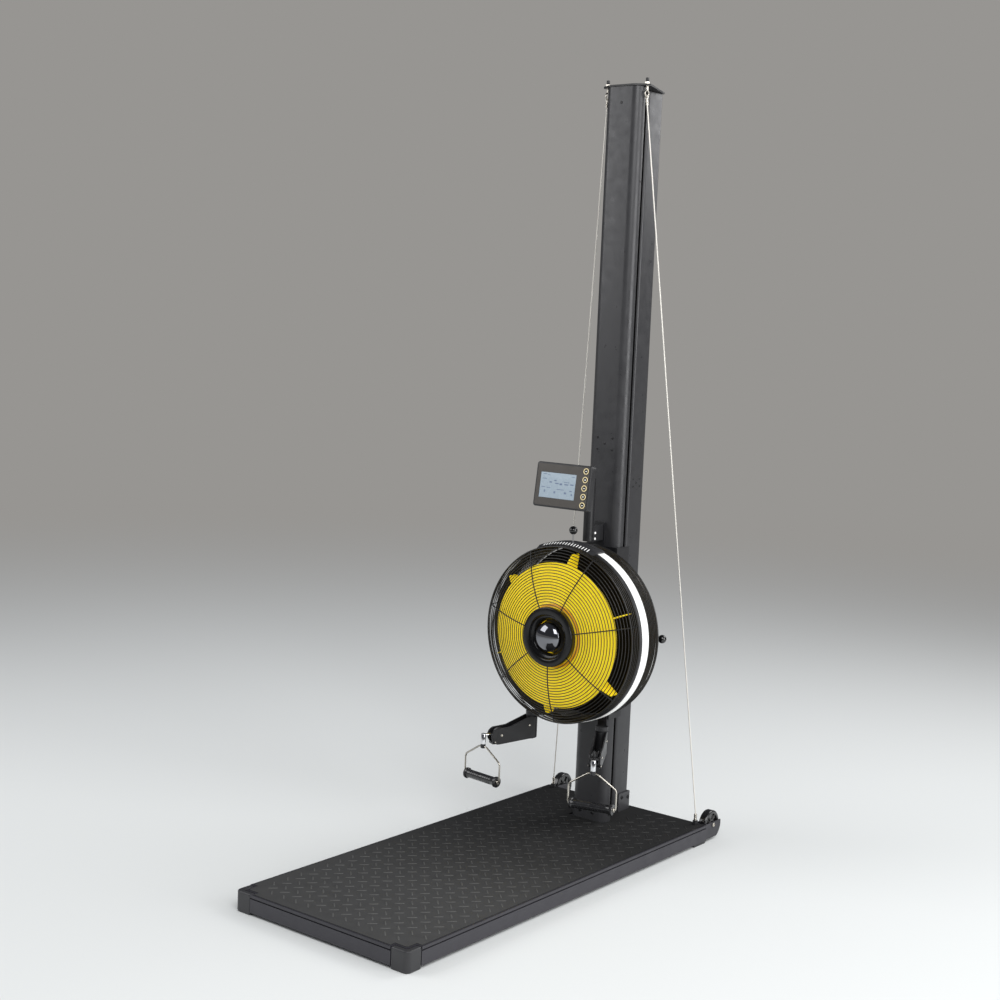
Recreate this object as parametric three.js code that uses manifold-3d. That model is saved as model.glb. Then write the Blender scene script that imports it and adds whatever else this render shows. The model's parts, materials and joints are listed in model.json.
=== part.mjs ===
// Ski trainer machine: a deck with a tall mast and a sliding fan unit that carries two pull arms.
// Units are millimetres, Z is up, X is right and the user stands on the -Y side facing +Y.
// The origin is on the floor in the middle of the footprint.
import * as THREE from 'three';
import { mergeVertices } from 'three/addons/utils/BufferGeometryUtils.js';
import Module from 'manifold-3d';

const wasm = await Module();
wasm.setup();

// Overall sizes
const deckWidth = 585;
const deckLength = 1345;
const mastHeight = 2206;
const mastCentreSetback = 146;
const fanAxisHeight = 637;

// Clearances shared by all pieces
const seat = 0.3;
const slide = 0.8;
const turn = 0.5;
const overrun = 4;
const weld = 0.6;

// Deck sizes
const rail = { bottom: 8, height: 39.2, width: 30, wall: 3, groove: 3.2, grooveDepth: 4 };
const board = { thick: 7, lip: 6, lipHeight: 2.4, capGap: 1 };
const mat = { thick: 3, edgeGap: 0.8, anchorHole: 8.5, footGap: 1 };
const railTop = rail.bottom + rail.height;
const boardBottom = railTop + seat;
const boardTop = boardBottom + board.thick;
const boardFloor = boardTop - board.lipHeight;
const matBottom = boardFloor + seat;
const matTop = matBottom + mat.thick;
const cap = { legX: 54, legY: 50, width: 16, corner: 15, round: 4, inner: 4, proud: 0.6 };
const rearFoot = { length: 62, width: 26, inset: 1 };

// Transport wheels and their housings
const wheel = {
  radius: 42, width: 24, floorGap: 4, setback: 44, bore: 6.5, rimDepth: 5, tread: 4,
  hubShare: 0.35, webShare: 0.6,
};
const housing = {
  plate: 4, lip: 8, lowEdge: 8, strap: 22, axle: 6, boltHead: 9, boltProud: 3,
  flange: 3, flangeWidth: 16,
};

// Stations along Y, from the front of the deck to the back of the wheel housings
const wheelOverhang = wheel.setback + wheel.radius + housing.lip;
const frontY = -(deckLength + wheelOverhang) / 2;
const rearY = frontY + deckLength;
const mastY = rearY - mastCentreSetback;
const wheelZ = wheel.floorGap + wheel.radius;
const wheelY = rearY + wheel.setback;
const wheelSide = wheel.width / 2 + slide;
const wheelX = deckWidth / 2 - housing.boltProud - housing.plate - wheelSide;

// Mast sizes, with Y measured from the mast centre
const channel = { width: 120, depth: 32, front: -61.5, corner: 23, wall: 3, lip: 14 };
const tube = { width: 55, depth: 80, front: 35, corner: 7, wall: 3 };
const spineThick = 8;
const collar = { height: 52, wall: 3.5 };
const bracket = { height: 58, wall: 4, front: 60 };
const plate = {
  thick: 5, overhang: 2, earX: 67, earY: -35, earRadius: 12, earStart: -75, earEnd: 25, noseShare: 0.37,
};
const channelRear = channel.front + channel.depth;
const tubeRear = tube.front + tube.depth;
const mastBottom = boardFloor + seat;
const mastTop = mastHeight - plate.thick - seat;

// Brace cables with their eyes
const eye = {
  ring: 9, wire: 2.2, shank: 4, drop: 22, nut: 7, nutHeight: 7, cap: 5.2, capHeight: 11,
  shoulderShare: 0.7, crownShare: 0.6,
};
const anchor = {
  inset: 30.5, setback: 17.5, block: 6.5, blockHeight: 15, fitting: 4.5, fittingHeight: 20.5,
  neck: 3, chamfer: 2,
};
const anchorX = deckWidth / 2 - anchor.inset;
const cable = { radius: 2, loop: 4.6, ferrule: 4, ferruleLength: 18 };

// Carriage sizes; every Z of the sliding unit is measured from the fan axis
const cageRadius = 255;
const carriage = {
  thick: 6, below: 12, topInset: 12, tongue: 36, tongueRise: 58, cheek: 5, cheekRear: -5,
  hook: 13, hookThick: 6,
};
const carriageBottom = -(cageRadius + carriage.below);
const carriageTop = cageRadius - carriage.topInset;
const carriageBack = channel.front - slide;
const carriageFront = carriageBack - carriage.thick;
const cheekInner = channel.width / 2 + slide;
const lock = {
  y: -36, z: -7, earHalf: 9, hub: 5.7, hubHalf: 4.5, pin: 2.5, rod: 3, reach: 215, ball: 12.5, ear: 5,
};
const lockPivotX = cheekInner + carriage.cheek + lock.hub + slide;

// Fan cage, with Y measured from the mast centre and radii from the fan axis
const cage = {
  radius: cageRadius, wire: 1.8, rim: 2.6, frontY: -253, rearY: -126, hubY: -297, spokes: 7, spokeAngle: 13,
  frontRings: 4, sideRings: 2, bars: 14, rearRings: 3, rearHubInset: 50, rearHubThick: 3,
};
const rearHub = cageRadius - cage.rearHubInset;
const hoop = { front: -218, rear: -168, proud: 2.2, wall: 3 };
const hoopOuter = cageRadius + hoop.proud;
const hoopInner = hoopOuter - hoop.wall;
const band = { front: -212, rear: -174, gap: 0.7, wall: 1.8, startAngle: -90, endAngle: 104 };
const bandInner = hoopOuter + band.gap;
const bandOuter = bandInner + band.wall;
const hubRing = { outer: 86, inner: 48, shoulder: 64, front: -306, lip: 9, bowl: -286, wall: 3 };
const scale = { halfAngle: 22, gap: 1.8, wall: 4.5, front: -240, face: -224, rear: -182 };
const scaleInner = bandOuter + scale.gap;
const scaleSlot = { halfAngle: 17, width: 9 };
const lever = { y: -200, rod: 3, rise: 44, ball: 12.2 };
const leverBallZ = cageRadius + lever.rise;

// Fan wheel
const fan = {
  tipGap: 17, bladeReach: 29, discThick: 2.5, discY: -266, bossFoot: 106, bossTop: 82, bossInner: 60, bossRise: 12,
  bladeRoot: 60, bladeRear: -212, bladeThick: 2.4, blades: 6, bladeAngle: 22,
  hub: 24, hubRear: -205, chamfer: 16,
};
const bladeTip = cageRadius - fan.tipGap;
const discRadius = bladeTip - fan.bladeReach;
const shaft = { radius: 10, front: -298, bearing: 30, bearingDepth: 15 };
const bearingY = carriageFront - shaft.bearingDepth;
const dome = { radius: 43, base: -297, rise: 25, rim: 1.2, collar: 20, collarDepth: 24 };
const drum = { radius: 38, flange: 44, flangeThick: 3, front: -117, rear: -88, groove: 30 };
const standoff = { spread: 36, radius: 6 };

// Monitor and its post
const post = { radius: 15, y: -125, foot: 6, lug: 28, lugRise: 52 };
const [postBottom, lugTop] = [cageRadius + post.foot, cageRadius + post.lugRise];
const monitor = {
  width: 188, height: 128, depth: 26, corner: 8, y: -267, rise: 171, tilt: 7.6, round: 3,
  screenWidth: 122, screenHeight: 72, screenThick: 1.2, screenX: -15, screenZ: -1,
};
const monitorZ = cageRadius + monitor.rise;
const hinge = { radius: 8, back: 22, width: 24, lug: 6, arm: 20, pocket: 16 };
const button = { radius: 9, x: 78, pitch: 24, proud: 2.5, deep: 4, travel: 1.5, names: 5 };

// Pull arms and handles; every Z of theirs is measured from the underside of the arm mounts
const pivot = { x: 125, y: -190, pin: 7, disc: 18, armRadius: 17 };
const armMount = { drop: 10.5, thick: 12, width: 26, start: 42, flange: 40, flangeThick: 5 };
const armMountZ = -(cageRadius + armMount.drop);
const arm = {
  splay: 27, bottom: -68.5, top: -1, cheek: 4, cheekGap: 26, tipS: 112, tipRadius: 24, tipZ: -55.5,
  tipEnd: 75, noseZ: -27.5, noseS: 78, heelS: 14, hangerS: 155,
};
const pulley = { s: 104, z: -52.5, radius: 20, width: 15, pin: 4, groove: 15 };
const hanger = { z: -51.5, pin: 4.5, body: 7, crown: 5, barS: 130 };
const swivel = {
  crossZ: -84.5, cross: 3.2, end: 7.5, above: 5.5, below: 6, chamfer: 2, neck: 3,
  head: 4.8, headLow: 12, headHeight: 4,
};
const bail = {
  wire: 2.5, flat: 12, half: 71, shoulder: -38, grip: -94, endIn: 14, bend: 9, bendShare: 0.45,
  steps: 44,
};
const grip = {
  radius: 12.5, flange: 16, flangeWidth: 6, chamfer: 2, half: 64, bore: 3, groove: 1.2, ribs: 2,
};
const hangerBottom = swivel.crossZ + swivel.above + turn;
const headLow = swivel.crossZ + swivel.headLow;
const headHigh = headLow + swivel.headHeight;
const handleTurns = { left: -7, right: 13.6 };

// Angles in degrees: the way up from the +X direction, and the longest straight side of a wedge
const upward = 90;
const wedgeStep = 30;

// Counts of sides for round shapes
const sides = { fine: 56, round: 20, small: 10, wire: 6, ring: 21, ringWire: 4, cable: 8 };

// Points of one geometry that lie closer than this are one point
const mergeDistance = 1e-4;

const deg = THREE.MathUtils.degToRad;
const AXIS_X = new THREE.Vector3(1, 0, 0);
const AXIS_Y = new THREE.Vector3(0, 1, 0);
const AXIS_Z = new THREE.Vector3(0, 0, 1);

// Finishes
const finish = (color, roughness, metalness) => ({ color, roughness, metalness });
const charcoalPaint = finish(0x3a3b3f, 0.45, 0.35);
const blackPaint = finish(0x1b1c1e, 0.4, 0.3);
const matRubber = finish(0x242527, 0.85, 0.0);
const blackPlastic = finish(0x17181a, 0.5, 0.0);
const wireBlack = finish(0x1a1a1b, 0.45, 0.3);
const yellowPlastic = finish(0xf2cf1f, 0.4, 0.0);
const whitePlastic = finish(0xe8e8e4, 0.45, 0.0);
const chrome = finish(0xd8d9db, 0.12, 1.0);
const steel = finish(0xb9b5ab, 0.3, 1.0);
const glossBlack = finish(0x0c0c0d, 0.1, 0.0);
const gripRubber = finish(0x1c1c1d, 0.75, 0.0);
const screenGlass = finish(0xa9b7c2, 0.25, 0.0);
const goldRing = finish(0xc9b98a, 0.4, 0.3);

// Solids: change a closed geometry to a manifold solid and back
function solidOf(geometry) {
  const bare = geometry.clone();
  bare.deleteAttribute('normal');
  bare.deleteAttribute('uv');
  const merged = mergeVertices(bare, mergeDistance);
  const source = merged.getIndex().array;
  const kept = [];
  for (let i = 0; i < source.length; i += 3) {
    const [a, b, c] = [source[i], source[i + 1], source[i + 2]];
    if (a !== b && b !== c && c !== a) kept.push(a, b, c);
  }
  const mesh = new wasm.Mesh({
    numProp: 3,
    vertProperties: new Float32Array(merged.getAttribute('position').array),
    triVerts: new Uint32Array(kept),
  });
  return new wasm.Manifold(mesh);
}

function geometryOf(solid) {
  const mesh = solid.getMesh();
  const geometry = new THREE.BufferGeometry();
  const positions = new Float32Array(mesh.vertProperties);
  geometry.setAttribute('position', new THREE.BufferAttribute(positions, mesh.numProp));
  geometry.setIndex(new THREE.BufferAttribute(new Uint32Array(mesh.triVerts), 1));
  geometry.computeVertexNormals();
  return geometry;
}

function join(...geometries) {
  return geometryOf(geometries.map(solidOf).reduce((whole, piece) => whole.add(piece)));
}

function cut(geometry, ...tools) {
  return geometryOf(tools.map(solidOf).reduce((whole, tool) => whole.subtract(tool), solidOf(geometry)));
}

function common(geometry, tool) {
  return geometryOf(solidOf(geometry).intersect(solidOf(tool)));
}

// Shapes that many pieces share
function box(x0, x1, y0, y1, z0, z1) {
  const geometry = new THREE.BoxGeometry(x1 - x0, y1 - y0, z1 - z0);
  return geometry.translate((x0 + x1) / 2, (y0 + y1) / 2, (z0 + z1) / 2);
}

// A rod between two points
function rod(from, to, radius, count = sides.small) {
  const direction = to.clone().sub(from);
  const geometry = new THREE.CylinderGeometry(radius, radius, direction.length(), count);
  geometry.applyQuaternion(new THREE.Quaternion().setFromUnitVectors(AXIS_Y, direction.clone().normalize()));
  const middle = from.clone().add(to).multiplyScalar(0.5);
  return geometry.translate(middle.x, middle.y, middle.z);
}

function point(x, y, z) {
  return new THREE.Vector3(x, y, z);
}

// A turned solid about the Y axis through the origin, from [radius, y] stations
function turnedY(stations, count = sides.round) {
  return new THREE.LatheGeometry(stations.map(([r, y]) => new THREE.Vector2(r, y)), count);
}

// A turned solid about the Z axis, from [radius, z] stations
function turnedZ(stations, count = sides.round) {
  return turnedY(stations, count).rotateX(Math.PI / 2);
}

// A turned solid about the X axis, from [radius, x] stations
function turnedX(stations, count = sides.round) {
  return turnedY(stations, count).rotateZ(-Math.PI / 2);
}

// A closed ring profile has its first station again at the end
function ringProfile(inner, outer, low, high) {
  return [[inner, low], [outer, low], [outer, high], [inner, high], [inner, low]];
}

// A wire ring about the Y axis
function wireRing(radius, y, wire) {
  const geometry = new THREE.TorusGeometry(radius, wire, sides.ringWire, sides.ring);
  return geometry.rotateX(Math.PI / 2).translate(0, y, 0);
}

// An outline in X and Y, raised along Z from low to high
function prism(shape, low, high, arcSides = 6) {
  const geometry = new THREE.ExtrudeGeometry(shape, {
    depth: high - low, bevelEnabled: false, curveSegments: arcSides,
  });
  return geometry.translate(0, 0, low);
}

function outline(points) {
  return new THREE.Shape(points.map(([x, y]) => new THREE.Vector2(x, y)));
}

// An outline in two chosen directions, swept along their cross product
function sweep(shape, length, u, v, arcSides = 6) {
  const geometry = prism(shape, 0, length, arcSides);
  const along = new THREE.Vector3().crossVectors(u, v);
  return geometry.applyMatrix4(new THREE.Matrix4().makeBasis(u, v, along));
}

// A rectangle with rounded corners, centred on the origin
function roundedRectangle(width, height, radius) {
  const [x, y] = [width / 2 - radius, height / 2 - radius];
  const shape = new THREE.Shape();
  shape.absarc(x, y, radius, 0, Math.PI / 2);
  shape.absarc(-x, y, radius, Math.PI / 2, Math.PI);
  shape.absarc(-x, -y, radius, Math.PI, 1.5 * Math.PI);
  shape.absarc(x, -y, radius, 1.5 * Math.PI, 2 * Math.PI);
  return shape;
}

// A wedge about the Y axis between two angles that are measured from +X towards +Z
function wedge(startAngle, endAngle, reach, low, high) {
  const shape = new THREE.Shape();
  shape.moveTo(0, 0);
  const steps = Math.ceil((endAngle - startAngle) / wedgeStep);
  for (let i = 0; i <= steps; i++) {
    const angle = deg(startAngle + (endAngle - startAngle) * i / steps);
    shape.lineTo(reach * Math.cos(angle), reach * Math.sin(angle));
  }
  const geometry = sweep(shape, high - low, AXIS_X, AXIS_Z);
  return geometry.translate(0, high, 0);
}

function mesh(name, geometry, look, x = 0, y = 0, z = 0) {
  const made = new THREE.Mesh(geometry, new THREE.MeshStandardMaterial(look));
  made.name = name;
  made.position.set(x, y, z);
  return made;
}

function groupAt(x, y, z, ...children) {
  const group = new THREE.Group();
  group.position.set(x, y, z);
  for (const child of children) group.add(child);
  return group;
}

// The two sides of the machine, seen by the user
const bothSides = [{ word: 'left', s: -1 }, { word: 'right', s: 1 }];

// Deck rails: a folded channel that opens inward, with a shadow groove under the deck board
function railProfile() {
  const { width, wall, bottom, groove, grooveDepth } = rail;
  const shoulder = railTop - groove;
  return outline([
    [0, bottom], [width, bottom], [width, bottom + wall], [wall, bottom + wall], [wall, shoulder - wall],
    [grooveDepth + wall, shoulder - wall], [grooveDepth + wall, railTop - wall], [width, railTop - wall],
    [width, railTop], [grooveDepth, railTop], [grooveDepth, shoulder], [0, shoulder],
  ]);
}

function sideRail({ word, s }) {
  const length = deckLength - cap.legY - seat;
  const inward = point(-s, 0, 0);
  const geometry = sweep(railProfile(), length, inward, AXIS_Z);
  const startY = s > 0 ? rearY - length : rearY;
  return mesh(`side_rail_${word}`, geometry, charcoalPaint, s * deckWidth / 2, startY, 0);
}

function frontRail() {
  const length = deckWidth - 2 * (cap.legX + seat);
  const geometry = sweep(railProfile(), length, AXIS_Y, AXIS_Z);
  return mesh('front_rail', geometry, charcoalPaint, -length / 2, frontY, 0);
}

function rearRail() {
  const length = deckWidth - 2 * (rail.width + seat);
  const geometry = sweep(railProfile(), length, point(0, -1, 0), AXIS_Z);
  return mesh('rear_rail', geometry, charcoalPaint, length / 2, rearY, 0);
}

// Corner cap: an L of moulded plastic that wraps the front corner and stands on the floor
function capOutline(s) {
  const [w, l] = [deckWidth / 2, cap.width];
  const shape = new THREE.Shape();
  shape.moveTo(s * (w - cap.legX), frontY);
  shape.lineTo(s * (w - cap.corner), frontY);
  const start = s > 0 ? -Math.PI / 2 : 1.5 * Math.PI;
  const end = s > 0 ? 0 : Math.PI;
  shape.absarc(s * (w - cap.corner), frontY + cap.corner, cap.corner, start, end, s < 0);
  shape.lineTo(s * w, frontY + cap.legY);
  shape.lineTo(s * (w - l), frontY + cap.legY);
  shape.lineTo(s * (w - l), frontY + l + cap.inner);
  shape.quadraticCurveTo(s * (w - l), frontY + l, s * (w - l - cap.inner), frontY + l);
  shape.lineTo(s * (w - cap.legX), frontY + l);
  return shape;
}

function cornerCap({ word, s }) {
  const height = boardTop + cap.proud - 2 * cap.round;
  const geometry = new THREE.ExtrudeGeometry(capOutline(s), {
    depth: height, bevelThickness: cap.round, bevelSize: cap.round, bevelOffset: -cap.round, bevelSegments: 2,
    curveSegments: 5,
  });
  return mesh(`corner_cap_${word}`, geometry.translate(0, 0, cap.round), blackPlastic);
}

// Deck board and mat: a tray and its sheet, whose front corners are cut back to the caps
function deckOutline(inset, gap) {
  const [w, l] = [deckWidth / 2 - inset, cap.width + gap];
  const points = [];
  for (const s of [1, -1]) {
    const corner = [
      [s * (deckWidth / 2 - cap.legX - gap), frontY + inset],
      [s * (deckWidth / 2 - cap.legX - gap), frontY + l],
      [s * (deckWidth / 2 - l - cap.inner), frontY + l],
      [s * (deckWidth / 2 - l), frontY + l + cap.inner],
      [s * (deckWidth / 2 - l), frontY + cap.legY + gap],
      [s * w, frontY + cap.legY + gap],
      [s * w, rearY - inset],
    ];
    points.push(...(s > 0 ? corner : corner.reverse()));
  }
  return outline(points);
}

function deckBoard() {
  const { capGap, lip } = board;
  const recess = prism(deckOutline(lip, capGap + lip), boardFloor, boardTop + overrun);
  return mesh('deck_board', cut(prism(deckOutline(0, capGap), boardBottom, boardTop), recess), charcoalPaint);
}

function deckMat() {
  const gap = mat.footGap;
  const [low, high] = [matBottom - overrun, matTop + overrun];
  const collarHalf = channel.width / 2 + seat + collar.wall + gap;
  const tubeHalf = tube.width / 2 + seat + bracket.wall + gap;
  const collarFront = mastY + channel.front - seat - collar.wall - gap;
  const bracketRear = mastY + tubeRear + seat + bracket.wall + gap;
  const holes = bothSides.map(({ s }) => {
    const centre = point(s * anchorX, rearY - anchor.setback, 0);
    return rod(centre.clone().setZ(low), centre.clone().setZ(high), mat.anchorHole, sides.round);
  });
  const footCut = box(-collarHalf, collarHalf, collarFront, mastY + channelRear + gap, low, high);
  const tubeCut = box(-tubeHalf, tubeHalf, mastY + channelRear, bracketRear, low, high);
  const edge = board.lip + mat.edgeGap;
  const sheet = prism(deckOutline(edge, board.capGap + edge), matBottom, matTop);
  return mesh('deck_mat', cut(sheet, footCut, tubeCut, ...holes), matRubber);
}

function rearFootBlock({ word, s }) {
  const { width, length, inset } = rearFoot;
  const x = s * (deckWidth / 2 - rail.width / 2);
  const block = box(-width / 2, width / 2, -length, 0, 0, rail.bottom - seat);
  return mesh(`rear_foot_${word}`, block, blackPlastic, x, rearY - inset, 0);
}

// Wheel housing: an outer plate, an inner strap with its flange, and the axle bolt in one weldment
function housingPlate() {
  const reach = wheel.radius + housing.lip;
  const startX = rearY + seat - wheelY;
  const [low, high] = [housing.lowEdge - wheelZ, boardTop - wheelZ];
  const [lowAngle, highAngle] = [low, high].map((z) => Math.asin(z / reach));
  const shape = new THREE.Shape();
  shape.moveTo(startX, low);
  shape.lineTo(reach * Math.cos(lowAngle), low);
  shape.absarc(0, 0, reach, lowAngle, highAngle);
  shape.lineTo(startX, high);
  return shape;
}

function wheelHousing({ word, s }) {
  const face = wheelSide + housing.plate;
  const head = face + housing.boltProud;
  const startY = rearY + seat - wheelY;
  const [low, high] = [housing.lowEdge - wheelZ, railTop - wheelZ];
  const blockAlong = (from, to, y1, z0, z1) => (
    box(Math.min(s * from, s * to), Math.max(s * from, s * to), startY, y1, z0, z1)
  );
  const plateStart = Math.min(s * wheelSide, s * face);
  const outerPlate = sweep(housingPlate(), housing.plate, AXIS_Y, AXIS_Z, sides.small);
  outerPlate.translate(plateStart, 0, 0);
  const strap = blockAlong(-face, -wheelSide, housing.strap / 2, -housing.strap / 2, housing.strap / 2);
  const flange = blockAlong(-face - housing.flangeWidth, -wheelSide, startY + housing.flange, low, high);
  const axle = rod(point(s * (weld - face), 0, 0), point(s * (face - weld), 0, 0), housing.axle);
  const bolt = rod(point(s * (face - weld), 0, 0), point(s * head, 0, 0), housing.boltHead, sides.wire);
  const whole = join(outerPlate, strap, flange, axle, bolt);
  return mesh(`wheel_housing_${word}`, whole, charcoalPaint, s * wheelX, wheelY, wheelZ);
}

function transportWheel({ word, s }) {
  const { radius, width, bore, rimDepth, tread } = wheel;
  const half = width / 2;
  const [hub, web] = [radius * wheel.hubShare, radius * wheel.webShare];
  const profile = [
    [bore, -half], [hub, -half], [web, rimDepth - half], [radius - tread, -half], [radius, tread - half],
    [radius, half - tread], [radius - tread, half], [web, half - rimDepth], [hub, half], [bore, half],
    [bore, -half],
  ];
  return mesh(`transport_wheel_${word}`, turnedX(profile), gripRubber, s * wheelX, wheelY, wheelZ);
}

// Mast: a wide front channel, and a narrow rear tube with a spine that carries the channel
function channelShape() {
  const { width, front, corner, wall, lip } = channel;
  const [half, centreX, centreY] = [width / 2, width / 2 - corner, front + corner];
  const inner = corner - wall;
  const shape = new THREE.Shape();
  shape.moveTo(-half, channelRear);
  shape.lineTo(-half, centreY);
  shape.absarc(-centreX, centreY, corner, Math.PI, 1.5 * Math.PI);
  shape.absarc(centreX, centreY, corner, 1.5 * Math.PI, 2 * Math.PI);
  shape.lineTo(half, channelRear);
  shape.lineTo(half - lip, channelRear);
  shape.lineTo(half - lip, channelRear - wall);
  shape.lineTo(half - wall, channelRear - wall);
  shape.absarc(centreX, centreY, inner, 2 * Math.PI, 1.5 * Math.PI, true);
  shape.absarc(-centreX, centreY, inner, 1.5 * Math.PI, Math.PI, true);
  shape.lineTo(wall - half, channelRear - wall);
  shape.lineTo(lip - half, channelRear - wall);
  shape.lineTo(lip - half, channelRear);
  return shape;
}

// A band that wraps the front and the sides of the channel
function wrapShape(gap, wall) {
  const half = channel.width / 2;
  const [centreX, centreY] = [half - channel.corner, channel.front + channel.corner];
  const [outer, inner] = [channel.corner + gap + wall, channel.corner + gap];
  const shape = new THREE.Shape();
  shape.moveTo(-half - gap - wall, channelRear);
  shape.lineTo(-half - gap - wall, centreY);
  shape.absarc(-centreX, centreY, outer, Math.PI, 1.5 * Math.PI);
  shape.absarc(centreX, centreY, outer, 1.5 * Math.PI, 2 * Math.PI);
  shape.lineTo(half + gap + wall, channelRear);
  shape.lineTo(half + gap, channelRear);
  shape.absarc(centreX, centreY, inner, 2 * Math.PI, 1.5 * Math.PI, true);
  shape.absarc(-centreX, centreY, inner, 1.5 * Math.PI, Math.PI, true);
  shape.lineTo(-half - gap, channelRear);
  return shape;
}

function tubeShape() {
  const shape = new THREE.Shape();
  const { width, front, corner, wall } = tube;
  const [half, rear] = [width / 2, tubeRear];
  const spineFront = channel.front + channel.wall + seat;
  shape.moveTo(spineThick / 2, front);
  shape.lineTo(half - corner, front);
  shape.absarc(half - corner, front + corner, corner, -Math.PI / 2, 0);
  shape.absarc(half - corner, rear - corner, corner, 0, Math.PI / 2);
  shape.absarc(corner - half, rear - corner, corner, Math.PI / 2, Math.PI);
  shape.absarc(corner - half, front + corner, corner, Math.PI, 1.5 * Math.PI);
  shape.lineTo(-spineThick / 2, front);
  shape.lineTo(-spineThick / 2, spineFront);
  shape.lineTo(spineThick / 2, spineFront);
  const [x, low, high] = [half - wall, front + wall, rear - wall];
  const hollow = [[-x, low], [-x, high], [x, high], [x, low]];
  shape.holes.push(new THREE.Path(hollow.map(([a, b]) => new THREE.Vector2(a, b))));
  return shape;
}

function topPlateShape() {
  const { overhang, earX, earY, earRadius, earStart, earEnd, noseShare } = plate;
  const front = channel.front - overhang;
  const noseHalf = channel.width * noseShare;
  const rearHalf = tube.width / 2 + overhang;
  const shape = new THREE.Shape();
  shape.moveTo(-noseHalf, front);
  shape.lineTo(noseHalf, front);
  shape.absarc(earX, earY, earRadius, deg(earStart), deg(earEnd));
  shape.lineTo(rearHalf, tubeRear + overhang);
  shape.lineTo(-rearHalf, tubeRear + overhang);
  shape.absarc(-earX, earY, earRadius, Math.PI - deg(earEnd), Math.PI - deg(earStart));
  for (const s of [-1, 1]) {
    shape.holes.push(new THREE.Path().absarc(s * earX, earY, eye.shank + seat, 0, 2 * Math.PI, true));
  }
  return shape;
}

function mastPieces() {
  const [x0, x1] = [tube.width / 2 + seat, tube.width / 2 + seat + bracket.wall];
  const [y0, y1] = [tubeRear + seat, tubeRear + seat + bracket.wall];
  const rearBand = outline([
    [x1, bracket.front], [x1, y1], [-x1, y1], [-x1, bracket.front], [-x0, bracket.front], [-x0, y0], [x0, y0],
    [x0, bracket.front],
  ]);
  const collarBand = prism(wrapShape(seat, collar.wall), mastBottom, mastBottom + collar.height);
  return [
    mesh('mast_front_channel', prism(channelShape(), mastBottom, mastTop), charcoalPaint),
    mesh('mast_rear_tube', prism(tubeShape(), mastBottom, mastTop, 3), charcoalPaint),
    mesh('mast_foot_collar', collarBand, charcoalPaint),
    mesh('mast_rear_bracket', prism(rearBand, mastBottom, mastBottom + bracket.height), charcoalPaint),
    mesh('top_plate', prism(topPlateShape(), mastHeight - plate.thick, mastHeight, 5), blackPaint),
  ];
}

// Eye bolt: a shank with a ring on one end, and a nut and a cap on the other
function ringOf(radius, wire, axis, centre) {
  const geometry = new THREE.TorusGeometry(radius, wire, sides.wire, sides.small);
  geometry.applyQuaternion(new THREE.Quaternion().setFromUnitVectors(AXIS_Z, axis));
  return geometry.translate(centre.x, centre.y, centre.z);
}

function topEyeCentre(s) {
  return point(s * plate.earX, plate.earY, mastHeight - plate.thick - eye.drop);
}

function topEyeBolt({ word, s }) {
  const { x, y, z } = topEyeCentre(s);
  const top = mastHeight + seat;
  const nutTop = top + eye.nutHeight;
  const shank = rod(point(x, y, z + eye.ring - weld), point(x, y, nutTop), eye.shank);
  const nut = rod(point(x, y, top), point(x, y, nutTop), eye.nut, sides.wire);
  const [shoulder, crownTop] = [eye.capHeight * eye.shoulderShare, eye.cap * eye.crownShare];
  const crown = turnedZ([
    [0, 0], [eye.cap, 0], [eye.cap, shoulder], [crownTop, eye.capHeight], [0, eye.capHeight],
  ], sides.small).translate(x, y, nutTop - weld);
  const ring = ringOf(eye.ring, eye.wire, AXIS_X, point(x, y, z));
  return mesh(`eye_bolt_${word}`, join(ring, shank, nut, crown), steel);
}

// Cable anchor: a block on the deck board with a fitting on top, which the brace cable runs into
function anchorTop(s) {
  const height = seat + anchor.blockHeight + anchor.fittingHeight;
  return point(s * anchorX, mastCentreSetback - anchor.setback, boardFloor + height);
}

function cableAnchor({ word, s }) {
  const { block, blockHeight, fitting, fittingHeight, neck, chamfer } = anchor;
  const top = anchorTop(s);
  const height = blockHeight + fittingHeight;
  const whole = turnedZ([
    [0, 0], [block, 0], [block, blockHeight], [fitting, blockHeight], [fitting, height - chamfer],
    [neck, height], [0, height],
  ], sides.small);
  return mesh(`cable_anchor_${word}`, whole, steel, top.x, top.y, boardFloor + seat);
}

// Brace cable: a taut wire rope with a pressed loop in the top eye, and its lower end in the anchor
function braceCable({ word, s }) {
  const top = topEyeCentre(s);
  const to = anchorTop(s).setZ(anchorTop(s).z + turn);
  const down = to.clone().sub(top).normalize();
  const hook = eye.ring - eye.wire - seat - cable.radius + cable.loop;
  const loopCentre = point(top.x, top.y, top.z - hook);
  const axis = new THREE.Vector3().crossVectors(down, AXIS_X).normalize();
  const start = loopCentre.clone().addScaledVector(down, cable.loop - weld);
  const stop = start.clone().addScaledVector(down, cable.ferruleLength);
  const loop = ringOf(cable.loop, cable.radius, axis, loopCentre);
  const ferrule = rod(start, stop, cable.ferrule, sides.cable);
  const rope = rod(start, to, cable.radius, sides.cable);
  return mesh(`brace_cable_${word}`, join(rope, loop, ferrule), steel);
}

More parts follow.
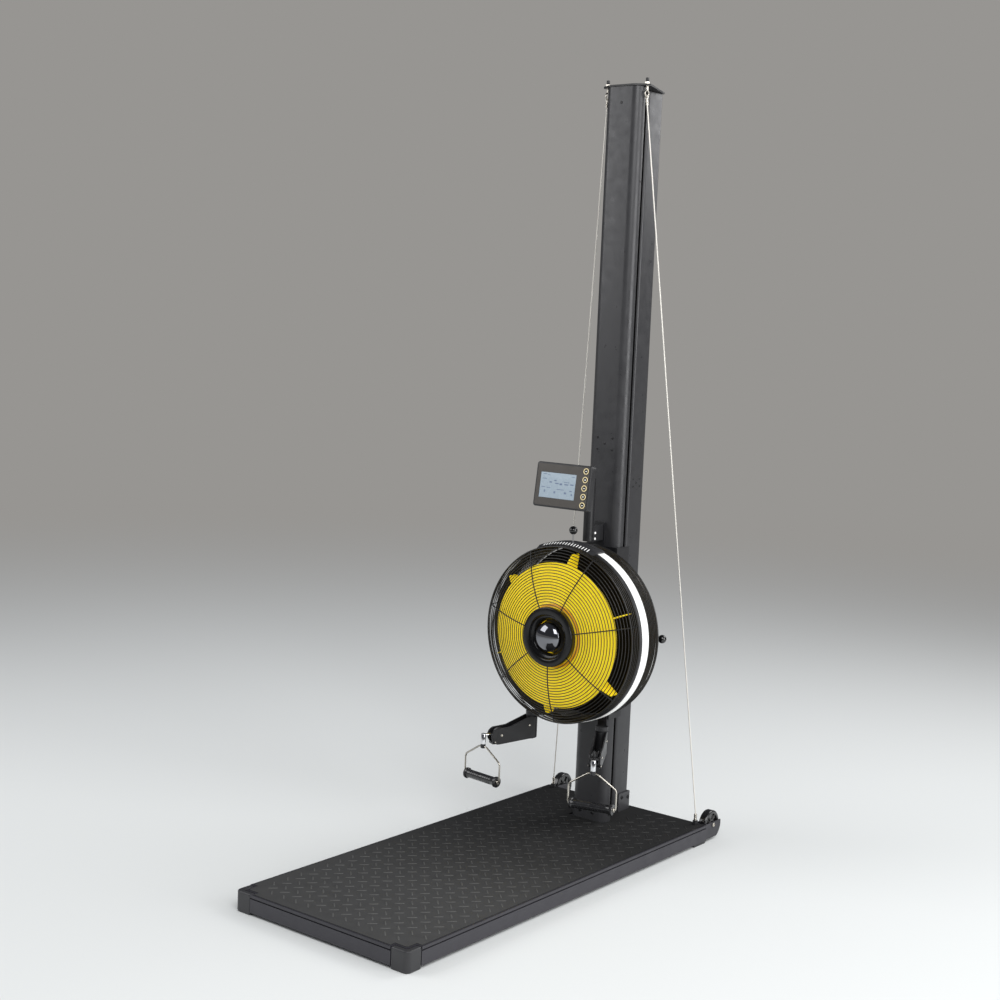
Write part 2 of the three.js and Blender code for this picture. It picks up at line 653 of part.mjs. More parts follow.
// Carriage: a plate in front of the mast, with a cheek at each side that hooks behind the channel
function carriagePlate() {
  const half = cheekInner - seat;
  const flat = box(-half, half, carriageFront, carriageBack, carriageBottom, carriageTop);
  const tongueHalf = carriage.tongue / 2;
  const [tongueLow, tongueTop] = [carriageTop - overrun, cageRadius + carriage.tongueRise];
  const tongue = box(-tongueHalf, tongueHalf, carriageFront, carriageBack, tongueLow, tongueTop);
  const boss = rod(point(0, bearingY, 0), point(0, carriageFront + weld, 0), shaft.bearing, sides.round);
  const [boreFront, boreBack] = [bearingY - overrun, carriageBack + overrun];
  const bore = rod(point(0, boreFront, 0), point(0, boreBack, 0), shaft.radius + turn, sides.round);
  return mesh('carriage_plate', cut(join(flat, tongue, boss), bore), blackPaint);
}

function carriageCheek({ word, s }) {
  const [x0, x1] = [cheekInner, cheekInner + carriage.cheek];
  const hookFront = channelRear + slide;
  const shape = outline([
    [s * x0, carriageFront], [s * x1, carriageFront], [s * x1, carriage.cheekRear],
    [s * x0, carriage.cheekRear], [s * x0, hookFront + carriage.hookThick],
    [s * (x0 - carriage.hook), hookFront + carriage.hookThick], [s * (x0 - carriage.hook), hookFront],
    [s * x0, hookFront],
  ]);
  const sheet = prism(shape, carriageBottom, carriageTop);
  if (s < 0) return mesh(`carriage_cheek_${word}`, sheet, blackPaint);
  const ears = [-1, 1].map((side) => {
    const near = side * (lock.hubHalf + seat);
    const far = near + side * lock.ear;
    const [y0, y1] = [Math.min(near, far), Math.max(near, far)];
    const ear = box(x1 - weld, lockPivotX + lock.hub, y0, y1, -lock.earHalf, lock.earHalf);
    return ear.translate(0, lock.y, lock.z);
  });
  const pinHalf = lock.hubHalf + seat + lock.ear;
  const pin = rod(point(0, -pinHalf, 0), point(0, pinHalf, 0), lock.pin);
  pin.translate(lockPivotX, lock.y, lock.z);
  return mesh(`carriage_cheek_${word}`, join(sheet, ...ears, pin), blackPaint);
}

// Release lever: a hub between the ears on the right cheek, with a rod and a ball
function lockLever() {
  const boreHalf = lock.hubHalf + overrun;
  const hub = rod(point(0, -lock.hubHalf, 0), point(0, lock.hubHalf, 0), lock.hub);
  const bore = rod(point(0, -boreHalf, 0), point(0, boreHalf, 0), lock.pin + turn);
  const end = lock.reach - lockPivotX;
  const stem = rod(point(0, 0, 0), point(end, 0, 0), lock.rod, sides.cable);
  const ball = new THREE.SphereGeometry(lock.ball, sides.round, sides.small).translate(end, 0, 0);
  const lever = cut(join(hub, stem, ball), bore);
  return mesh('height_lock_lever', lever, glossBlack, lockPivotX, lock.y, lock.z);
}

// Fan cage: the front grille bulges from its rim to the hub ring, in two straight steps
const bulgeShares = [[0, 0], [0.6, 0.36], [1, 1]];

function grilleRadius(share) {
  return hubRing.outer - cage.wire + (cage.radius - hubRing.outer + cage.wire) * share;
}

function grilleY(share) {
  const next = Math.max(1, bulgeShares.findIndex(([along]) => along >= share));
  const [[a, riseA], [b, riseB]] = [bulgeShares[next - 1], bulgeShares[next]];
  const rise = riseA + (riseB - riseA) * (share - a) / (b - a);
  return cage.hubY + (cage.frontY - cage.hubY) * rise;
}

function frontGrille() {
  const parts = [wireRing(cage.radius, cage.frontY, cage.rim)];
  for (let i = 0; i <= cage.frontRings; i++) {
    const share = i / (cage.frontRings + 1);
    parts.push(wireRing(grilleRadius(share), grilleY(share), cage.wire));
  }
  for (let i = 0; i < cage.spokes; i++) {
    const angle = deg(cage.spokeAngle) + 2 * Math.PI * i / cage.spokes;
    const stations = bulgeShares.map(([share]) => {
      const radius = grilleRadius(share);
      return point(radius * Math.cos(angle), grilleY(share), radius * Math.sin(angle));
    });
    for (let k = 0; k + 1 < stations.length; k++) {
      parts.push(rod(stations[k], stations[k + 1], cage.wire, sides.ringWire));
    }
  }
  return mesh('cage_front_grille', join(...parts), wireBlack);
}

function sideCage() {
  const start = cage.frontY + cage.rim + cage.wire + seat;
  const hoopRing = ringProfile(hoopInner, hoopOuter, hoop.front, hoop.rear);
  const parts = [turnedY(hoopRing, sides.fine)];
  for (let i = 0; i < cage.sideRings; i++) {
    const ahead = start + (hoop.front - cage.wire - start) * i / cage.sideRings;
    const behind = cage.rearY + (hoop.rear + cage.wire - cage.rearY) * i / cage.sideRings;
    parts.push(wireRing(cage.radius, ahead, cage.wire), wireRing(cage.radius, behind, cage.wire));
  }
  for (let i = 0; i < cage.bars; i++) {
    const angle = 2 * Math.PI * (i + 0.5) / cage.bars;
    const [x, z] = [hoopInner * Math.cos(angle), hoopInner * Math.sin(angle)];
    parts.push(rod(point(x, start, z), point(x, cage.rearY, z), cage.wire, sides.ringWire));
  }
  return mesh('cage_side', join(...parts), wireBlack);
}

function rearGrille() {
  const y = cage.rearY + cage.wire + seat + cage.rim;
  const hubFront = y - cage.rearHubThick / 2;
  const disc = ringProfile(shaft.radius + turn, rearHub, hubFront, hubFront + cage.rearHubThick);
  const parts = [wireRing(cage.radius, y, cage.rim), turnedY(disc, sides.fine)];
  for (let i = 1; i < cage.rearRings; i++) {
    const radius = rearHub + cage.rearHubInset * i / cage.rearRings;
    parts.push(wireRing(radius, y, cage.wire));
  }
  for (let i = 0; i < cage.spokes; i++) {
    const angle = deg(cage.spokeAngle) + 2 * Math.PI * i / cage.spokes;
    const [x, z] = [Math.cos(angle), Math.sin(angle)];
    const inner = rearHub - cage.rim;
    const [from, to] = [point(x * inner, y, z * inner), point(x * cage.radius, y, z * cage.radius)];
    parts.push(rod(from, to, cage.wire, sides.ringWire));
  }
  for (const x of [-standoff.spread, standoff.spread]) {
    for (const z of [-standoff.spread, standoff.spread]) {
      const back = point(x, carriageFront - seat, z);
      parts.push(rod(point(x, y, z), back, standoff.radius, sides.cable));
    }
  }
  return mesh('cage_rear_grille', join(...parts), wireBlack);
}

function hubRingPiece() {
  const { outer, inner, shoulder, front, lip, bowl, wall } = hubRing;
  const back = cage.hubY + cage.wire;
  const seatRadius = (outer - 2 * cage.wire) * Math.cos(Math.PI / sides.ring) - seat;
  const seatY = cage.hubY - cage.wire - seat;
  return mesh('hub_ring', turnedY([
    [seatRadius, back], [shoulder, back], [inner + wall, bowl + wall], [inner, bowl],
    [inner + wall, bowl - wall], [shoulder - wall, front + lip], [shoulder, front], [outer - wall, front],
    [outer, front + wall], [outer, seatY], [seatRadius, seatY], [seatRadius, back],
  ], sides.ring), blackPlastic);
}

// Air shutter: a white band that turns on the hoop, and its lever on top
function shutterBand() {
  const ring = turnedY(ringProfile(bandInner, bandOuter, band.front, band.rear), sides.fine);
  const sector = wedge(band.startAngle, band.endAngle, 2 * cage.radius, band.front - overrun,
    band.rear + overrun);
  return mesh('air_shutter', common(ring, sector), whitePlastic);
}

function shutterLever() {
  const foot = bandOuter + seat;
  const stem = rod(point(0, lever.y, foot), point(0, lever.y, leverBallZ), lever.rod, sides.cable);
  const ball = new THREE.SphereGeometry(lever.ball, sides.small, sides.small / 2);
  return mesh('shutter_lever', join(stem, ball.translate(0, lever.y, leverBallZ)), glossBlack);
}

function shutterScale() {
  const { wall, front, face, rear, halfAngle } = scale;
  const inner = scaleInner;
  const foot = hoopOuter + seat;
  const heel = band.front - slide;
  const ring = turnedY([
    [foot, front], [inner + wall, face], [inner + wall, rear], [inner, rear], [inner, heel], [foot, heel],
    [foot, front],
  ], sides.fine);
  const reach = 2 * cage.radius;
  const block = common(ring, wedge(upward - halfAngle, upward + halfAngle, reach, front - overrun, rear + overrun));
  const [low, high] = [lever.y - scaleSlot.width / 2, lever.y + scaleSlot.width / 2];
  const slotRing = turnedY(ringProfile(inner - overrun, inner + wall + overrun, low, high), sides.fine);
  const slotHalf = scaleSlot.halfAngle;
  const slotSector = wedge(upward - slotHalf, upward + slotHalf, reach, front, rear);
  return mesh('shutter_scale', cut(block, common(slotRing, slotSector)), blackPlastic);
}

// Fan wheel: a front disc with a raised boss and radial blades behind it, on a shaft with its cord drum
function fanWheel() {
  const discRear = fan.discY + fan.discThick;
  const sleeve = shaft.radius + seat;
  const bossFront = fan.discY - fan.bossRise;
  const parts = [turnedY([
    [sleeve, fan.discY], [fan.bossInner, fan.discY], [fan.bossInner, bossFront], [fan.bossTop, bossFront],
    [fan.bossFoot, fan.discY], [discRadius, fan.discY], [discRadius, discRear], [fan.hub, discRear],
    [fan.hub, fan.hubRear], [sleeve, fan.hubRear], [sleeve, fan.discY],
  ], sides.ring)];
  const blade = outline([
    [fan.hub - weld, discRear - weld], [discRadius, discRear - weld],
    [bladeTip, discRear + fan.chamfer], [bladeTip, fan.bladeRear],
    [fan.bladeRoot, fan.bladeRear], [fan.hub - weld, fan.hubRear - fan.chamfer],
  ]);
  for (let i = 0; i < fan.blades; i++) {
    const angle = deg(fan.bladeAngle) + 2 * Math.PI * i / fan.blades;
    const plateGeometry = sweep(blade, fan.bladeThick, AXIS_X, AXIS_Y).translate(0, 0, -fan.bladeThick / 2);
    parts.push(plateGeometry.rotateY(-angle));
  }
  return mesh('fan_wheel', join(...parts), yellowPlastic);
}

function fanShaft() {
  const spindle = rod(point(0, shaft.front, 0), point(0, carriageBack, 0), shaft.radius, sides.round);
  return mesh('fan_shaft', spindle, steel);
}

function hubDome() {
  const stations = [[0, dome.base - dome.rise]];
  const steps = 6;
  for (let i = 1; i <= steps; i++) {
    const angle = Math.PI / 2 * i / steps;
    stations.push([dome.radius * Math.sin(angle), dome.base - dome.rise * Math.cos(angle)]);
  }
  const sleeve = shaft.radius + seat;
  const [rim, foot] = [dome.base + dome.rim, dome.base + dome.collarDepth];
  stations.push([dome.radius, rim], [dome.collar, rim], [dome.collar, foot], [sleeve, foot],
    [sleeve, shaft.front - seat], [0, shaft.front - seat]);
  return mesh('hub_dome', turnedY(stations, sides.round), chrome);
}

function cordDrum() {
  const { radius, flange, flangeThick, front, rear, groove } = drum;
  const bore = shaft.radius + seat;
  const [wallFront, wallRear] = [front + flangeThick, rear - flangeThick];
  return mesh('cord_drum', turnedY([
    [bore, front], [flange, front], [flange, wallFront], [radius, wallFront], [groove, (front + rear) / 2],
    [radius, wallRear], [flange, wallRear], [flange, rear], [bore, rear], [bore, front],
  ], sides.round), blackPlastic);
}

// Monitor: the post rises behind the cage and carries the monitor on a forward arm
function monitorPost() {
  const armEnd = monitor.y + hinge.back;
  const postTop = monitorZ + hinge.arm;
  const upright = rod(point(0, post.y, postBottom), point(0, post.y, postTop), post.radius, sides.round);
  const half = hinge.arm / 2;
  const beam = box(-half, half, armEnd, post.y, monitorZ - half, monitorZ + half);
  const across = (x, radius) => rod(point(-x, armEnd, monitorZ), point(x, armEnd, monitorZ), radius);
  const barrel = across(hinge.width / 2, hinge.radius);
  const bore = across(hinge.width, hinge.radius / 2 + turn);
  const lug = box(-post.lug / 2, post.lug / 2, post.y, carriageFront - seat, postBottom, lugTop);
  return mesh('monitor_post', cut(join(upright, beam, barrel, lug), bore), blackPaint);
}

function monitorGroup() {
  const { width, height, depth, corner, round } = monitor;
  const { screenWidth, screenHeight, screenThick, screenX, screenZ } = monitor;
  const shell = new THREE.ExtrudeGeometry(roundedRectangle(width, height, corner), {
    depth: depth - 2 * round, bevelThickness: round, bevelSize: round, bevelOffset: -round, bevelSegments: 1,
    curveSegments: 4,
  });
  shell.rotateX(Math.PI / 2).translate(0, depth - round, 0);
  const [halfX, halfZ] = [screenWidth / 2 + seat, screenHeight / 2 + seat];
  const recess = box(-halfX, halfX, -overrun, screenThick + seat, -halfZ, halfZ);
  recess.translate(screenX, 0, screenZ);
  const wells = [];
  for (let i = 0; i < button.names; i++) {
    const z = button.pitch * ((button.names - 1) / 2 - i);
    const wellEnd = button.deep + button.travel + turn;
    wells.push(rod(point(button.x, -overrun, z), point(button.x, wellEnd, z), button.radius + seat));
  }
  const barrelY = hinge.back;
  const lugs = [-1, 1].map((s) => {
    const near = s * (hinge.width / 2 + seat);
    const far = near + s * hinge.lug;
    const [x0, x1] = [Math.min(near, far), Math.max(near, far)];
    return box(x0, x1, depth - weld, hinge.radius + depth, -hinge.radius, hinge.radius);
  });
  const pocketHalf = hinge.width / 2 + seat;
  const pocketFront = barrelY - hinge.radius - slide;
  const pocket = box(-pocketHalf, pocketHalf, pocketFront, depth + overrun, -hinge.pocket, hinge.pocket);
  const pinHalf = pocketHalf + weld;
  const pin = rod(point(-pinHalf, barrelY, 0), point(pinHalf, barrelY, 0), hinge.radius / 2);
  const housingSolid = join(cut(join(shell, ...lugs), recess, pocket, ...wells), pin);
  const children = [mesh('monitor_housing', housingSolid, blackPlastic)];
  const glass = box(-screenWidth / 2, screenWidth / 2, 0, screenThick, -screenHeight / 2, screenHeight / 2);
  children.push(mesh('monitor_screen', glass, screenGlass, screenX, 0, screenZ));
  for (let i = 0; i < button.names; i++) {
    const z = button.pitch * ((button.names - 1) / 2 - i);
    const key = rod(point(0, -button.proud, 0), point(0, button.deep, 0), button.radius);
    children.push(mesh(`monitor_button_${i + 1}`, key, goldRing, button.x, 0, z));
  }
  const group = groupAt(0, monitor.y + hinge.back, monitorZ);
  const shifted = groupAt(0, -hinge.back, 0, ...children);
  group.rotation.x = deg(-monitor.tilt);
  group.add(shifted);
  return group;
}

// Arm mount: a bar from the carriage to the pivot pin under the cage
function armMountPiece({ word, s }) {
  const from = point(s * armMount.start, carriageFront - seat, 0);
  const to = point(s * pivot.x, pivot.y, 0);
  const length = from.distanceTo(to);
  const top = armMount.thick;
  const bar = box(-armMount.width / 2, armMount.width / 2, 0, length, 0, top);
  bar.rotateZ(Math.atan2(to.y - from.y, to.x - from.x) - Math.PI / 2).translate(from.x, from.y, 0);
  const back = carriageFront - seat;
  const flangeHalf = armMount.flange / 2;
  const flangeTop = top + armMount.thick;
  const flange = box(-flangeHalf, flangeHalf, back - armMount.flangeThick, back, 0, flangeTop);
  const disc = rod(point(to.x, to.y, 0), point(to.x, to.y, top), pivot.disc, sides.round);
  const pin = rod(point(to.x, to.y, arm.bottom), point(to.x, to.y, top - weld), pivot.pin);
  const behind = box(-deckWidth, deckWidth, back, back + deckWidth, -overrun, top + overrun);
  const whole = join(cut(bar, behind), flange.translate(from.x, 0, 0), disc, pin);
  return mesh(`arm_mount_${word}`, whole, blackPaint, 0, 0, armMountZ);
}

// Arm: two cheeks from the pivot barrel to the pulley, with a pin at the tip that holds the hanger body
function armCheekShape() {
  const shape = new THREE.Shape();
  shape.moveTo(0, arm.bottom);
  shape.lineTo(arm.heelS, arm.bottom);
  shape.lineTo(arm.tipS, arm.tipZ - arm.tipRadius);
  shape.absarc(arm.tipS, arm.tipZ, arm.tipRadius, -Math.PI / 2, deg(arm.tipEnd));
  shape.lineTo(arm.noseS, arm.noseZ);
  shape.lineTo(arm.heelS, arm.top);
  shape.lineTo(0, arm.top);
  return shape;
}

function pullArm({ word, s }) {
  const cheekHalf = arm.cheekGap / 2;
  const forward = point(0, -1, 0);
  const cheeks = [-cheekHalf - arm.cheek, cheekHalf].map((x) => (
    sweep(armCheekShape(), arm.cheek, forward, AXIS_Z, 8).translate(x + arm.cheek, 0, 0)
  ));
  const barrel = rod(point(0, 0, arm.bottom), point(0, 0, arm.top), pivot.armRadius, sides.round);
  const [boreLow, boreHigh] = [arm.bottom - overrun, arm.top + overrun];
  const bore = rod(point(0, 0, boreLow), point(0, 0, boreHigh), pivot.pin + turn);
  const reach = cheekHalf + arm.cheek / 2;
  const across = (y, z, radius) => rod(point(-reach, y, z), point(reach, y, z), radius);
  const axle = across(-pulley.s, pulley.z, pulley.pin);
  const bar = across(-hanger.barS, hanger.z, hanger.pin);
  const tip = -arm.hangerS;
  const pin = rod(point(0, tip, hanger.z), point(0, -hanger.barS, hanger.z), hanger.pin);
  const body = rod(point(0, tip, hangerBottom), point(0, tip, hanger.z + hanger.crown), hanger.body);
  const { neck, head } = swivel;
  const chamber = turnedZ([
    [0, hangerBottom - overrun], [neck + turn, hangerBottom - overrun], [neck + turn, headLow - turn],
    [head + turn, headLow - turn], [head + turn, headHigh + turn], [0, headHigh + turn],
  ], sides.small).translate(0, tip, 0);
  const whole = cut(join(barrel, ...cheeks, axle, bar, pin, body), bore, chamber);
  return mesh(`arm_${word}`, whole, blackPaint);
}

function armPulley({ word }) {
  const half = pulley.width / 2;
  const bore = pulley.pin + turn;
  const profile = [
    [bore, -half], [pulley.radius, -half], [pulley.groove, 0], [pulley.radius, half], [bore, half],
    [bore, -half],
  ];
  return mesh(`arm_pulley_${word}`, turnedX(profile), blackPlastic, 0, -pulley.s, pulley.z);
}

// Swivel: an end piece that turns under the hanger body, held by its head
function handleSwivel({ word }) {
  const { crossZ, cross, end, above, below, chamfer, neck, head } = swivel;
  const [low, high] = [crossZ - below, crossZ + above];
  const body = turnedZ([
    [0, low], [end - chamfer, low], [end, low + chamfer], [end, high], [neck, high], [neck, headLow],
    [head, headLow], [head, headHigh], [0, headHigh],
  ], sides.small);
  const hole = rod(point(-2 * end, 0, crossZ), point(2 * end, 0, crossZ), cross);
  return mesh(`handle_swivel_${word}`, cut(body, hole), blackPlastic);
}

// Bail: a bent wire from the swivel to both ends of the grip
function bailPath() {
  const { flat, half, shoulder, grip: low, endIn, bend, bendShare } = bail;
  const corners = [
    [-(half - endIn), low], [-half, low], [-half, shoulder], [-flat, 0], [flat, 0], [half, shoulder],
    [half, low], [half - endIn, low],
  ].map(([x, z]) => point(x, 0, z));
  const path = new THREE.CurvePath();
  let start = corners[0];
  for (let i = 1; i + 1 < corners.length; i++) {
    const [before, corner, after] = [corners[i - 1], corners[i], corners[i + 1]];
    const legs = [before, after].map((end) => end.distanceTo(corner) * bendShare);
    const near = Math.min(bend, ...legs);
    const entry = corner.clone().addScaledVector(before.clone().sub(corner).normalize(), near);
    const exit = corner.clone().addScaledVector(after.clone().sub(corner).normalize(), near);
    path.add(new THREE.LineCurve3(start, entry));
    path.add(new THREE.QuadraticBezierCurve3(entry, corner, exit));
    start = exit;
  }
  path.add(new THREE.LineCurve3(start, corners[corners.length - 1]));
  return path;
}

function handleBail({ word }) {
  const section = new THREE.Shape().absarc(0, 0, bail.wire, 0, 2 * Math.PI);
  const geometry = new THREE.ExtrudeGeometry(section, {
    steps: bail.steps, extrudePath: bailPath(), bevelEnabled: false, curveSegments: 3,
  });
  return mesh(`handle_bail_${word}`, geometry, steel, 0, 0, swivel.crossZ);
}

function handleGrip({ word }) {
  const { radius, flange, flangeWidth, chamfer, half, bore, groove, ribs } = grip;
  const [foot, lip] = [half - flangeWidth - chamfer, half - flangeWidth];
  const profile = [
    [bore, -half], [flange - chamfer, -half], [flange, chamfer - half], [flange, -lip], [radius, -foot],
  ];
  for (let i = 0; i < ribs; i++) {
    const middle = 2 * foot * ((i + 1) / (ribs + 1) - 0.5);
    profile.push([radius, middle - 2 * groove], [radius - groove, middle], [radius, middle + 2 * groove]);
  }
  profile.push([radius, foot], [flange, lip], [flange, half - chamfer], [flange - chamfer, half]);
  profile.push([bore, half], [bore, -half]);
  const centreZ = swivel.crossZ + bail.grip;
  return mesh(`handle_grip_${word}`, turnedX(profile), gripRubber, 0, 0, centreZ);
}

function armAssembly(side) {
  const handle = groupAt(0, -arm.hangerS, 0, handleSwivel(side), handleBail(side), handleGrip(side));
  const splay = deg(side.s * arm.splay);
  handle.rotation.z = deg(handleTurns[side.word]) - splay;
  const assembly = groupAt(side.s * pivot.x, pivot.y, armMountZ, pullArm(side), armPulley(side), handle);
  assembly.rotation.z = splay;
  return assembly;
}

// The whole machine
function buildMachine() {
  const deck = groupAt(0, 0, 0, deckBoard(), deckMat(), frontRail(), rearRail());
  const mast = groupAt(0, mastY, 0, ...mastPieces());
  const sliding = groupAt(0, mastY, fanAxisHeight, carriagePlate(), lockLever());
  sliding.add(monitorPost(), monitorGroup());
  for (const side of bothSides) {
    deck.add(sideRail(side), cornerCap(side), rearFootBlock(side), wheelHousing(side), transportWheel(side));
    mast.add(topEyeBolt(side), cableAnchor(side), braceCable(side));
    sliding.add(carriageCheek(side), armMountPiece(side), armAssembly(side));
  }
  sliding.add(frontGrille(), sideCage(), rearGrille(), hubRingPiece(), shutterScale(), shutterBand());
  sliding.add(shutterLever(), fanWheel(), fanShaft(), hubDome(), cordDrum());
  const machine = new THREE.Group();
  machine.add(deck, mast, sliding);
  return machine;
}

export default buildMachine();
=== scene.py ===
"""Ski trainer machine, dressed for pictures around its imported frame.

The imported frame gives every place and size. Flat pieces of the frame are kept and get a finish.
Everything that is round, made of wire, moulded or small is built here as a smooth mesh. Lengths are
metres, Z is up, X is right and the user stands on the -Y side.
"""
import json
import logging
import math
from dataclasses import dataclass
from enum import Enum

import bmesh
import bpy
from mathutils import Matrix, Vector


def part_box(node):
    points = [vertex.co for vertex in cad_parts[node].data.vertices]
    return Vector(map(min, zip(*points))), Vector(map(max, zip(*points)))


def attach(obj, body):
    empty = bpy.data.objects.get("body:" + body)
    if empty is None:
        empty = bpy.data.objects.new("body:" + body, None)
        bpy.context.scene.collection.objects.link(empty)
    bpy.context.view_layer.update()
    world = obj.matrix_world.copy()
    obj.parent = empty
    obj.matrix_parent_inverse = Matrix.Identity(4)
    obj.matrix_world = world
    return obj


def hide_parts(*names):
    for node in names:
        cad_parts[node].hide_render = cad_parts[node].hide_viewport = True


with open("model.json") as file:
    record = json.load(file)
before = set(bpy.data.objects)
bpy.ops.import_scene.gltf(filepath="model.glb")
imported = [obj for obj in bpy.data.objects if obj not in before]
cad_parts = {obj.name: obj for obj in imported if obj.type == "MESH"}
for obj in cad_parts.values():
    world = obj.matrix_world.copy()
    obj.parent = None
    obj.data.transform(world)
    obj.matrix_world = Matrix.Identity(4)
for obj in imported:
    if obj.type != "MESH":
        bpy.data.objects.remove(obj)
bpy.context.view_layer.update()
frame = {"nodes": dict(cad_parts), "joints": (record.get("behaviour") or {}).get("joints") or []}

LOG = logging.getLogger("ski_trainer")
MM = 0.001
FULL_TURN = 2 * math.pi

Pair = tuple[float, float]
Triple = tuple[float, float, float]
Outline = list[Pair]


def srgb(red: int, green: int, blue: int) -> Triple:
    """Change a colour as a picture shows it to the linear values that a shader takes.

    Args:
        red: Red from 0 to 255.
        green: Green from 0 to 255.
        blue: Blue from 0 to 255.

    Returns:
        The three linear values from 0 to 1.
    """
    shares = [value / 255 for value in (red, green, blue)]
    return tuple(v / 12.92 if v <= 0.04045 else ((v + 0.055) / 1.055) ** 2.4 for v in shares)


class Side(Enum):
    """The two sides of the machine, each with its sign along X."""

    LEFT = -1
    RIGHT = 1

    def __str__(self) -> str:
        """The side's name as the frame writes it."""
        return self.name.lower()

    @property
    def outward(self) -> Vector:
        """The direction that leads away from the machine's middle."""
        return Vector((self.value, 0, 0))


class Axis(Enum):
    """The directions of the machine that a turned form can stand along."""

    X = ((0, 0, 1), (1, 0, 0), (0, 1, 0))
    Y = ((1, 0, 0), (0, 0, 1), (0, 1, 0))
    Z = ((1, 0, 0), (0, 1, 0), (0, 0, 1))

    @property
    def turn(self) -> Matrix:
        """The matrix that turns a form's own Z onto this direction. Along Y, the form's Y goes up."""
        return Matrix(self.value).to_4x4()

    def at(self, centre: Vector) -> Matrix:
        """The matrix that also puts the form's own origin at a point."""
        return Matrix.Translation(centre) @ self.turn


def facing(start: Vector, end: Vector) -> Matrix:
    """Give the matrix that puts a form's own Z along the way from one point to another.

    Args:
        start: Where the form's own origin goes.
        end: The point that its Z axis runs to.

    Returns:
        The placing matrix.
    """
    return Matrix.Translation(start) @ (end - start).to_track_quat("Z", "Y").to_matrix().to_4x4()


def joint_place(name: str) -> Vector:
    """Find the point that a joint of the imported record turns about.

    Args:
        name: The joint's name.

    Returns:
        The point in metres.
    """
    joint = next(row for row in frame["joints"] if row["name"] == name)
    return Vector(joint["pos_m"])


@dataclass(frozen=True)
class Block:
    """The box that one or more nodes of the frame fill at rest."""

    low: Vector
    high: Vector

    @classmethod
    def of(cls, *nodes: str) -> "Block":
        """Measure nodes of the frame.

        Args:
            nodes: The nodes' names.

        Returns:
            The box around them all.
        """
        boxes = [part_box(node) for node in nodes]
        low = Vector(min(box[0][i] for box in boxes) for i in range(3))
        high = Vector(max(box[1][i] for box in boxes) for i in range(3))
        return cls(low, high)

    @property
    def centre(self) -> Vector:
        """The middle of the box."""
        return (self.low + self.high) / 2

    @property
    def size(self) -> Vector:
        """The lengths of the box."""
        return self.high - self.low


class Wiring:
    """Adds, sets and joins the shader nodes of one material or world."""

    def __init__(self, owner: bpy.types.Material | bpy.types.World) -> None:
        """Turn on the owner's nodes."""
        owner.use_nodes = True
        self.tree = owner.node_tree

    def fill(self, node: bpy.types.Node, inputs: dict) -> bpy.types.NodeOutputs:
        """Set or join inputs of a node.

        Args:
            node: The node.
            inputs: For an input's name or number, its value or the output that feeds it.

        Returns:
            The node's outputs.
        """
        for key, value in inputs.items():
            if isinstance(value, bpy.types.NodeSocket):
                self.tree.links.new(value, node.inputs[key])
            else:
                node.inputs[key].default_value = value
        return node.outputs

    def add(self, kind: str, inputs: dict, **settings: str) -> bpy.types.NodeOutputs:
        """Add a node.

        Args:
            kind: The node's type, without the word that all types of shader nodes start with.
            inputs: For an input's name or number, its value or the output that feeds it.
            settings: Values of the node's own settings.

        Returns:
            The new node's outputs.
        """
        node = self.tree.nodes.new(f"ShaderNode{kind}")
        for name, value in settings.items():
            setattr(node, name, value)
        return self.fill(node, inputs)


